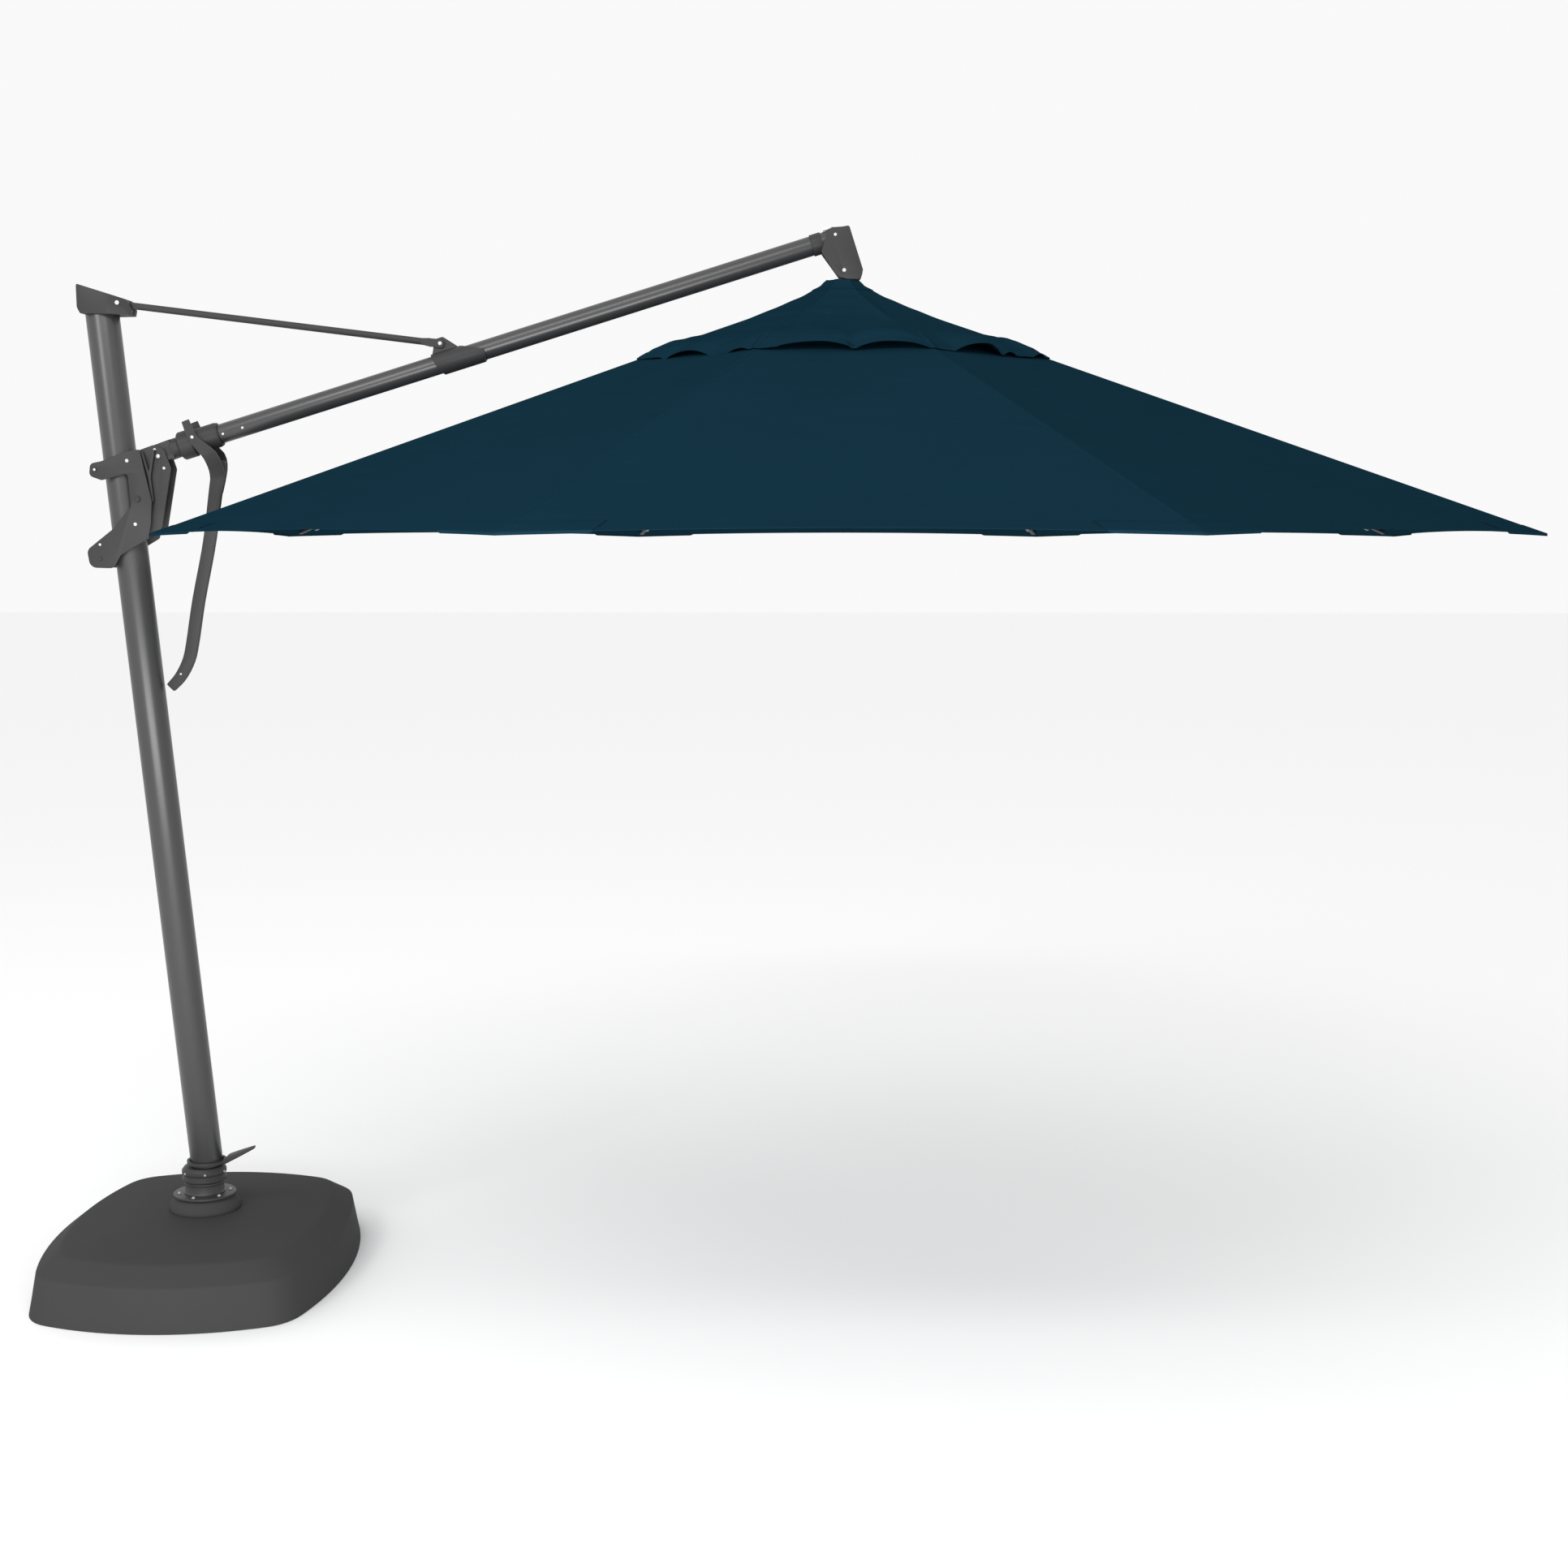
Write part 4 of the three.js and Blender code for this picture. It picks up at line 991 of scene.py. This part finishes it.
# ---------------------------------------------------------------- canopy frame
@dataclass
class CanopyFrame:
    """The head hub, the centre pole, the runner, the ribs and the struts."""

    rib_wide: float = 14.0
    rib_tall: float = 18.0
    tip_long: float = 50.0
    strut_wide: float = 10.0
    strut_tall: float = 15.0
    pole_r: float = 19.0
    pole_low: float = 2400.0
    pole_high: float = 2928.5

    def bar(self, length: float, wide: float, tall: float, heel: float) -> bmesh.types.BMesh:
        """A closed bar of rounded box section along +X from its own origin.

        Args:
            length: how far it runs.
            wide: its width along Y.
            tall: its height along Z.
            heel: how far it runs back past the origin.

        Returns:
            The mesh.
        """
        w, h = wide / 2, tall / 2
        section = rounded([(-w, -h, 2.2), (w, -h, 2.2), (w, h, 2.2), (-w, h, 2.2)], 0.8)
        bm = bmesh.new()
        face = bm.faces.new([bm.verts.new((-heel, y, z)) for y, z in section])
        grown = bmesh.ops.extrude_face_region(bm, geom=[face])["geom"]
        moved = [g for g in grown if isinstance(g, bmesh.types.BMVert)]
        bmesh.ops.translate(bm, verts=moved, vec=(length + heel, 0, 0))
        bmesh.ops.recalc_face_normals(bm, faces=bm.faces)
        bevel_creases(bm, 0.8, limit_deg=60.0)
        return bm

    def build(self) -> None:
        """Builds the whole canopy frame."""
        casting = cast("canopy_hub", 1.2)
        place("head_hub", casting, CAST_COAT, "canopy_head", Slot.CASTING_COAT, ["canopy_hub"])
        pole = turned(ring_profile(self.pole_r - 2, self.pole_r, self.pole_low, self.pole_high), 64)
        pole = shifted(pole, Matrix.Translation((CANOPY_X, 0, 0)))
        place("pole_shaft", pole, TUBE_COAT, "canopy_head", Slot.TUBE_COAT, ["centre_pole"])
        place("runner_ring", cast("runner", 0.9), NYLON, "runner", Slot.NYLON, ["runner"])
        fall = math.atan(CANOPY_FALL)
        rib_reach = (RIB_END_R - self.tip_long - RIB_HINGE[0]) / math.cos(fall)
        joint_z = RIB_HINGE[1] - CANOPY_FALL * (STRUT_JOINT_R - RIB_HINGE[0]) - STRUT_DROP
        run, rise = STRUT_JOINT_R - RUNNER_HINGE[0], joint_z - RUNNER_HINGE[1]
        strut_reach, slope = math.hypot(run, rise), math.atan2(rise, run)
        for i in range(SIDES):
            spin = Matrix.Translation((CANOPY_X, 0, 0)) @ Matrix.Rotation(corner_angle(i), 4, "Z")
            rib_at = spin @ Matrix.Translation((RIB_HINGE[0], 0, RIB_HINGE[1])) @ Matrix.Rotation(fall, 4, "Y")
            rib = shifted(self.bar(rib_reach, self.rib_wide, self.rib_tall, 9.0), rib_at)
            place(f"rib_bar_{i + 1}", rib, TUBE_COAT, f"rib_{i + 1}", Slot.TUBE_COAT, [f"rib_{i + 1}"])
            tip = self.bar(self.tip_long + 12.0, self.rib_wide + 2.0, 8.0, 20.0)
            tip = shifted(tip, rib_at @ Matrix.Translation((rib_reach, 0, 5.0)))
            place(f"rib_tip_{i + 1}", tip, NYLON, f"rib_{i + 1}", Slot.NYLON)
            strut_at = (
                spin @ Matrix.Translation((RUNNER_HINGE[0], STRUT_OFFSET, RUNNER_HINGE[1]))
                @ Matrix.Rotation(-slope, 4, "Y")
            )
            strut = self.bar(strut_reach + 6, self.strut_wide, self.strut_tall, 6.0)
            for s, inward in ((0.0, 6.5), (strut_reach, 10.0)):
                pin = turned([(0, -7.5), (3, -7.5, 0.6), (3, inward, 0.6), (0, inward)], 20, closed=False)
                pin = shifted(pin, Matrix.Translation((s, 0, 0)) @ Matrix.Rotation(math.pi / 2, 4, "X"))
                strut = absorb(strut, pin)
            place(
                f"strut_bar_{i + 1}", shifted(strut, strut_at), TUBE_COAT, f"strut_{i + 1}", Slot.TUBE_COAT,
                [f"strut_{i + 1}"],
            )


def corner_angle(i: int) -> float:
    """The azimuth of corner i of the octagon."""
    return (i + 0.5) * FULL_TURN / SIDES


# ---------------------------------------------------------------- canopy cloth
def along_table(rows: Sequence[Point2], x: float) -> float:
    """Smoothly reads a table of (x, value) rows.

    Args:
        rows: the rows, by rising x.
        x: where to read.

    Returns:
        The value.
    """
    if x <= rows[0][0]:
        return rows[0][1]
    for (x0, v0), (x1, v1) in zip(rows, rows[1:]):
        if x <= x1:
            return v0 + (v1 - v0) * ease((x - x0) / (x1 - x0))
    return rows[-1][1]


@dataclass(frozen=True)
class HemArc:
    """One place where the flap's hem lifts off the canopy, by share of a gore's side."""

    start: float
    peak: float
    end: float
    lift: float

    def at(self, q: float) -> float:
        """Works out the lift of the hem.

        Args:
            q: the share of the side.

        Returns:
            The lift in millimetres.
        """
        if not self.start < q < self.end:
            return 0.0
        span = self.peak - self.start if q < self.peak else self.end - self.peak
        return self.lift * math.cos(abs(q - self.peak) / span * math.pi / 2) ** 0.8


class Layer(Enum):
    """The two layers of the canopy."""

    MAIN = "main"
    FLAP = "flap"


@dataclass
class CanopyCloth:
    """The cloth: eight panels of the main canopy and eight of the vent flap, each sewn along its rib."""

    thick: float = 1.2
    hole_r: float = 250.0
    flap_r: float = 634.0
    neck_r: float = 50.0
    hem_arch: float = 11.0
    seam_half: float = 9.0
    band: float = 24.0
    pocket_half: float = 210.0
    pocket_drop: float = 7.0
    folded_share: float = 0.15
    flap_folded_share: float = 0.17
    flap_top_r: float = 80.0
    crown_slope: float = 1.1
    crown_r: float = 97.0
    flap_offsets: list[Point2] = field(default_factory=lambda: [
        (50, 33), (76, 21), (140, 12), (222, 7), (300, 4), (430, 5), (480, 11), (530, 18), (580, 15), (612, 8),
        (634, 3.5),
    ])
    arcs: dict[int, list[HemArc]] = field(default_factory=lambda: {
        5: [HemArc(0.13, 0.37, 0.54, 15), HemArc(0.58, 0.74, 0.98, 16)],
        4: [HemArc(0.06, 0.20, 0.24, 6), HemArc(0.26, 0.45, 0.62, 19), HemArc(0.80, 0.88, 0.95, 8)],
        6: [HemArc(0.18, 0.45, 0.56, 24), HemArc(0.60, 0.64, 0.70, 7), HemArc(0.86, 0.91, 0.96, 9)],
    })
    spare_arcs: list[HemArc] = field(default_factory=lambda: [
        HemArc(0.12, 0.32, 0.50, 16), HemArc(0.58, 0.76, 0.92, 15),
    ])

    # -- surfaces
    def main_z(self, r: float) -> float:
        """The height of a corner line at a radius."""
        return HEM_Z + CANOPY_FALL * (CORNER_R - r)

    def ripple(self, gore: int, q: float, r: float, size: float) -> float:
        """Tension ripples that run along a gore's side.

        Args:
            gore: the gore's number.
            q: the distance along its side from its middle.
            r: the corner radius of the row.
            size: the ripples' height.

        Returns:
            The height to add.
        """
        wide = noise.noise(Vector((q / 420.0, r / 62.0, gore * 7.3)))
        fine = noise.noise(Vector((q / 150.0, r / 21.0, gore * 3.1 + 40)))
        slow = noise.noise(Vector((q / 600.0, r / 300.0, gore * 5.7 + 90)))
        return size * (0.8 * wide + 0.25 * fine + 1.6 * slow)

    def surface(self, layer: Layer, i: int, r: float, across: float) -> tuple[Vector, Point2]:
        """A point of the cloth.

        Args:
            layer: the layer.
            i: the rib's number from 0.
            r: the corner radius of the row.
            across: the distance from the corner line along the octagon's side, to either hand.

        Returns:
            The point and its place on the flat cloth in metres.
        """
        half_side = r * math.sin(HALF_GORE)
        w = abs(across) / half_side
        hand = 1 if across >= 0 else -1
        gore = i if hand > 0 else (i - 1) % SIDES
        q = -(half_side - abs(across)) * hand
        share = q / (2 * half_side) + 0.5
        near_rib = ease(abs(across) / 70.0)
        bowl = w * (2 - w)
        if layer is Layer.MAIN:
            along = (CORNER_R - r) / (CORNER_R - self.hole_r)
            z = self.main_z(r) - 7.0 * bowl * math.sin(math.pi * along)
            z += self.hem_arch * bowl * max(0.0, 1 - (CORNER_R - r) / 420.0) ** 2
            z += near_rib * self.ripple(gore, q, r, 1.5) * ease((CORNER_R - r) / 120.0 + 0.25)
        else:
            z = self.main_z(r) + along_table(self.flap_offsets, r)
            open_share = ease((r - self.neck_r) / 150.0)
            z -= bowl * 9.0 * open_share * math.sin(math.pi * ease((r - self.neck_r) / (self.flap_r - self.neck_r)))
            rim = ease((r - 430.0) / (self.flap_r - 430.0))
            lift = max((arc.at(share) for arc in self.arcs.get(gore, self.spare_arcs)), default=0.0)
            z += rim * lift - rim * 4.0 * w * (1 if lift < 1 else 0)
            z += near_rib * open_share * self.ripple(gore + 11, q * 1.7, r * 1.1, 7.0)
            billow = math.exp(-((r - 480 + 0.0030 * q * q) / 26.0) ** 2)
            z += near_rib * billow * 4.5
        angle = corner_angle(i)
        out = Vector((math.cos(angle), math.sin(angle), 0))
        side = Vector((-math.sin(angle), math.cos(angle), 0))
        radial = r - abs(across) * math.sin(HALF_GORE)
        point = Vector((CANOPY_X, 0, z)) + out * radial + side * across * math.cos(HALF_GORE)
        return point, ((q + gore * 1700.0) * MM, r * MM)

    # -- panels
    def stops_across(self, count: int) -> list[float]:
        """Shares of the half side at which columns stand; negative ones count millimetres of the seam."""
        seam = [-s for s in (0.0, 4.0, self.seam_half - 0.6, self.seam_half)]
        return seam + list(np.linspace(0, 1, count + 1)[1:])

    def panel(self, layer: Layer, i: int, rows: Sequence[float], columns: int) -> bmesh.types.BMesh:
        """Builds one panel from a grid.

        Args:
            layer: the layer.
            i: the rib's number from 0.
            rows: the corner radii of the rows, from the top to the hem.
            columns: how many columns each hand has beyond the seam.

        Returns:
            The mesh, with its UV map.
        """
        half = self.stops_across(columns)
        stops = [(-1, s) for s in reversed(half[1:])] + [(1, s) for s in half]
        bm = bmesh.new()
        bmesh.ops.create_grid(bm, x_segments=len(stops) - 1, y_segments=len(rows) - 1, size=1.0)
        places: dict[bmesh.types.BMVert, Point2] = {}
        for vert in list(bm.verts):
            column = round((vert.co.x + 1) / 2 * (len(stops) - 1))
            row = round((vert.co.y + 1) / 2 * (len(rows) - 1))
            hand, stop = stops[column]
            r = rows[row]
            side = r * math.sin(HALF_GORE)
            seam = min(self.seam_half, 0.3 * side)
            if stop <= 0:
                across = -stop * seam / self.seam_half
            else:
                across = seam + (side - seam) * stop
            point, flat = self.surface(layer, i, r, hand * across)
            edge = CORNER_R if layer is Layer.MAIN else self.flap_r
            proud = 0.0
            if -self.seam_half < stop <= 0:
                proud += 1.0
            if edge - r < self.band - 0.5:
                proud += 0.9
            vert.co = point + Vector((0, 0, proud))
            places[vert] = flat
        layer_uv = bm.loops.layers.uv.new("cloth")
        for face in bm.faces:
            for loop in face.loops:
                loop[layer_uv].uv = places[loop.vert]
        return bm

    def dress(
        self, name: str, bm: bmesh.types.BMesh, body: str, stands_for: Sequence[str] = (),
    ) -> bpy.types.Object:
        """Places a cloth piece on a body and gives it its thickness.

        Args:
            name: the piece's name.
            bm: its mesh.
            body: the body it rides on.
            stands_for: the solids it replaces.

        Returns:
            The piece's object.
        """
        bmesh.ops.recalc_face_normals(bm, faces=bm.faces)
        if sum(face.normal.z for face in bm.faces) < 0:
            bmesh.ops.reverse_faces(bm, faces=bm.faces)
        piece = place(name, bm, CANVAS, body, Slot.CLOTH, stands_for, crease_deg=50.0, keep_normals=True)
        skin = piece.modifiers.new("cloth", "SOLIDIFY")
        skin.thickness = self.thick * MM
        skin.offset = -1.0
        return piece

    def gather(self, piece: bpy.types.Object) -> bpy.types.Object:
        """Gives a panel its own copy of its mesh.

        Args:
            piece: the panel.

        Returns:
            The panel.
        """
        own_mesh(piece)
        return piece

    def crown(self) -> None:
        """Builds the ring of cloth round the neck, which stays on the head."""
        rows = [self.neck_r, self.neck_r + 1.5, 60.0, 70.0, 80.0, 90.0, self.crown_r - 1.5, self.crown_r]
        ring = absorb(bmesh.new(), *[self.panel(Layer.FLAP, i, rows, 6) for i in range(SIDES)])
        bmesh.ops.remove_doubles(ring, verts=ring.verts, dist=0.05)
        bmesh.ops.translate(ring, verts=ring.verts, vec=(0, 0, 1.7))
        piece = self.dress("crown_ring", ring, "canopy_head")

    def pocket(self, i: int) -> bmesh.types.BMesh:
        """Builds the corner pocket, a doubled strip round the rib's end.

        Args:
            i: the rib's number from 0.

        Returns:
            The mesh, with its UV map.
        """
        columns, heights = 40, [-1.0, -0.5, 0.0, 0.04, 0.3, 0.6, 0.9, 1.0]
        reach = 70.0
        bm = bmesh.new()
        bmesh.ops.create_grid(bm, x_segments=columns, y_segments=len(heights) - 1, size=1.0)
        places: dict[bmesh.types.BMVert, Point2] = {}
        for vert in list(bm.verts):
            across = vert.co.x * self.pocket_half
            h = heights[round((vert.co.y + 1) / 2 * (len(heights) - 1))]
            r = CORNER_R + 1.5 - max(h, 0.0) * reach
            point, flat = self.surface(Layer.MAIN, i, min(r, CORNER_R), across)
            end = ease((1 - abs(vert.co.x)) / 0.03)
            lift = 2.2 if h < 0.95 else 0.6
            vert.co = point + Vector((0, 0, lift + min(h, 0.0) * self.pocket_drop * (0.55 + 0.45 * end)))
            places[vert] = (flat[0], flat[1] + 0.01 * h)
        layer_uv = bm.loops.layers.uv.new("cloth")
        for face in bm.faces:
            for loop in face.loops:
                loop[layer_uv].uv = places[loop.vert]
        return bm

    def build(self) -> None:
        """Builds every panel, the corner pockets and the crown."""
        edge = [0.0, 1.2, self.band - 1.0, self.band]
        main_rows = list(np.linspace(self.hole_r, CORNER_R - self.band - 22, 92))
        main_rows += [CORNER_R - e for e in reversed(edge)]
        flap_rows = list(np.linspace(self.flap_top_r, self.flap_r - self.band - 8, 60))
        flap_rows += [self.flap_r - e for e in reversed(edge)]
        for i in range(SIDES):
            rib = f"rib_{i + 1}"
            main = self.dress(
                f"canopy_panel_{i + 1}", self.panel(Layer.MAIN, i, main_rows, 26), rib,
                ["canopy_main"] if i == 0 else [],
            )
            pocket = self.dress(f"corner_pocket_{i + 1}", self.pocket(i), rib)
            flap = self.dress(
                f"flap_panel_{i + 1}", self.panel(Layer.FLAP, i, flap_rows, 22), rib,
                ["canopy_vent"] if i == 0 else [],
            )
            self.gather(main)
            self.gather(pocket)
            self.gather(flap)
        self.crown()


# ---------------------------------------------------------------- studio
@dataclass
class Studio:
    """The pale floor, the soft light and the camera."""

    floor_half: float = 60.0
    eye: Point3 = (1.899, -6.488, 2.256)
    yaw: float = math.radians(0.973)
    pitch: float = math.radians(6.454)
    lens: float = 49.82

    def floor(self) -> None:
        """Lays the floor."""
        bm = bmesh.new()
        bmesh.ops.create_grid(bm, x_segments=1, y_segments=1, size=self.floor_half)
        mesh = bpy.data.meshes.new("studio_floor")
        bm.to_mesh(mesh)
        bm.free()
        paint = bpy.data.materials.new("studio_floor")
        paint.use_nodes = True
        shader = paint.node_tree.nodes["Principled BSDF"]
        shader.inputs["Base Color"].default_value = (0.95, 0.95, 0.95, 1)
        shader.inputs["Roughness"].default_value = 0.9
        shader.inputs["Specular IOR Level"].default_value = 0.1
        mesh.materials.append(paint)
        floor = bpy.data.objects.new("studio_floor", mesh)
        bpy.context.scene.collection.objects.link(floor)

    def lamp(self, name: str, at: Point3, aim: Point3, size: Point2, power: float) -> None:
        """Hangs a soft rectangular lamp.

        Args:
            name: its name.
            at: where it hangs.
            aim: the point it faces.
            size: its width and height.
            power: its power in watts.
        """
        data = bpy.data.lights.new(name, "AREA")
        data.shape = "RECTANGLE"
        data.size, data.size_y = size
        data.energy = power
        lamp = bpy.data.objects.new(name, data)
        lamp.location = at
        lamp.visible_camera = False
        lamp.rotation_euler = (Vector(aim) - Vector(at)).to_track_quat("-Z", "Y").to_euler()
        bpy.context.scene.collection.objects.link(lamp)

    def camera(self) -> None:
        """Sets the camera."""
        data = bpy.data.cameras.new("camera")
        data.lens = self.lens
        data.sensor_width = 36.0
        data.clip_end = 300.0
        camera = bpy.data.objects.new("camera", data)
        camera.location = self.eye
        ahead = Vector((
            -math.sin(self.yaw) * math.cos(self.pitch),
            math.cos(self.yaw) * math.cos(self.pitch),
            -math.sin(self.pitch),
        ))
        camera.rotation_euler = ahead.to_track_quat("-Z", "Y").to_euler()
        bpy.context.scene.collection.objects.link(camera)
        bpy.context.scene.camera = camera

    def build(self) -> None:
        """Sets up the studio."""
        world = bpy.data.worlds.new("studio")
        world.use_nodes = True
        sky = world.node_tree.nodes["Background"]
        sky.inputs["Color"].default_value = (1.0, 1.0, 1.0, 1)
        sky.inputs["Strength"].default_value = 0.95
        bpy.context.scene.world = world
        bpy.context.scene.view_settings.view_transform = "Standard"
        self.floor()
        self.lamp("key", (-2.8, -5.6, 5.6), (0.3, 0.0, 1.2), (2.0, 2.0), 120.0)
        self.lamp("low_strip", (1.2, -5.5, 1.55), (1.2, 0.0, 2.9), (4.6, 0.34), 190.0)
        self.lamp("high_strip", (0.8, -5.0, 7.0), (0.8, 0.0, 2.8), (5.0, 0.8), 120.0)
        self.camera()


def main() -> None:
    """Builds the umbrella and its studio, in order."""
    logging.basicConfig(level=logging.INFO, format="%(message)s")
    for part in (WeightedBase(), Mast(), Carriage(), Boom(), CanopyFrame(), CanopyCloth(), Studio()):
        LOG.info("building %s", type(part).__name__)
        part.build()
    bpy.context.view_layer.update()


if __name__ == "__main__":
    main()
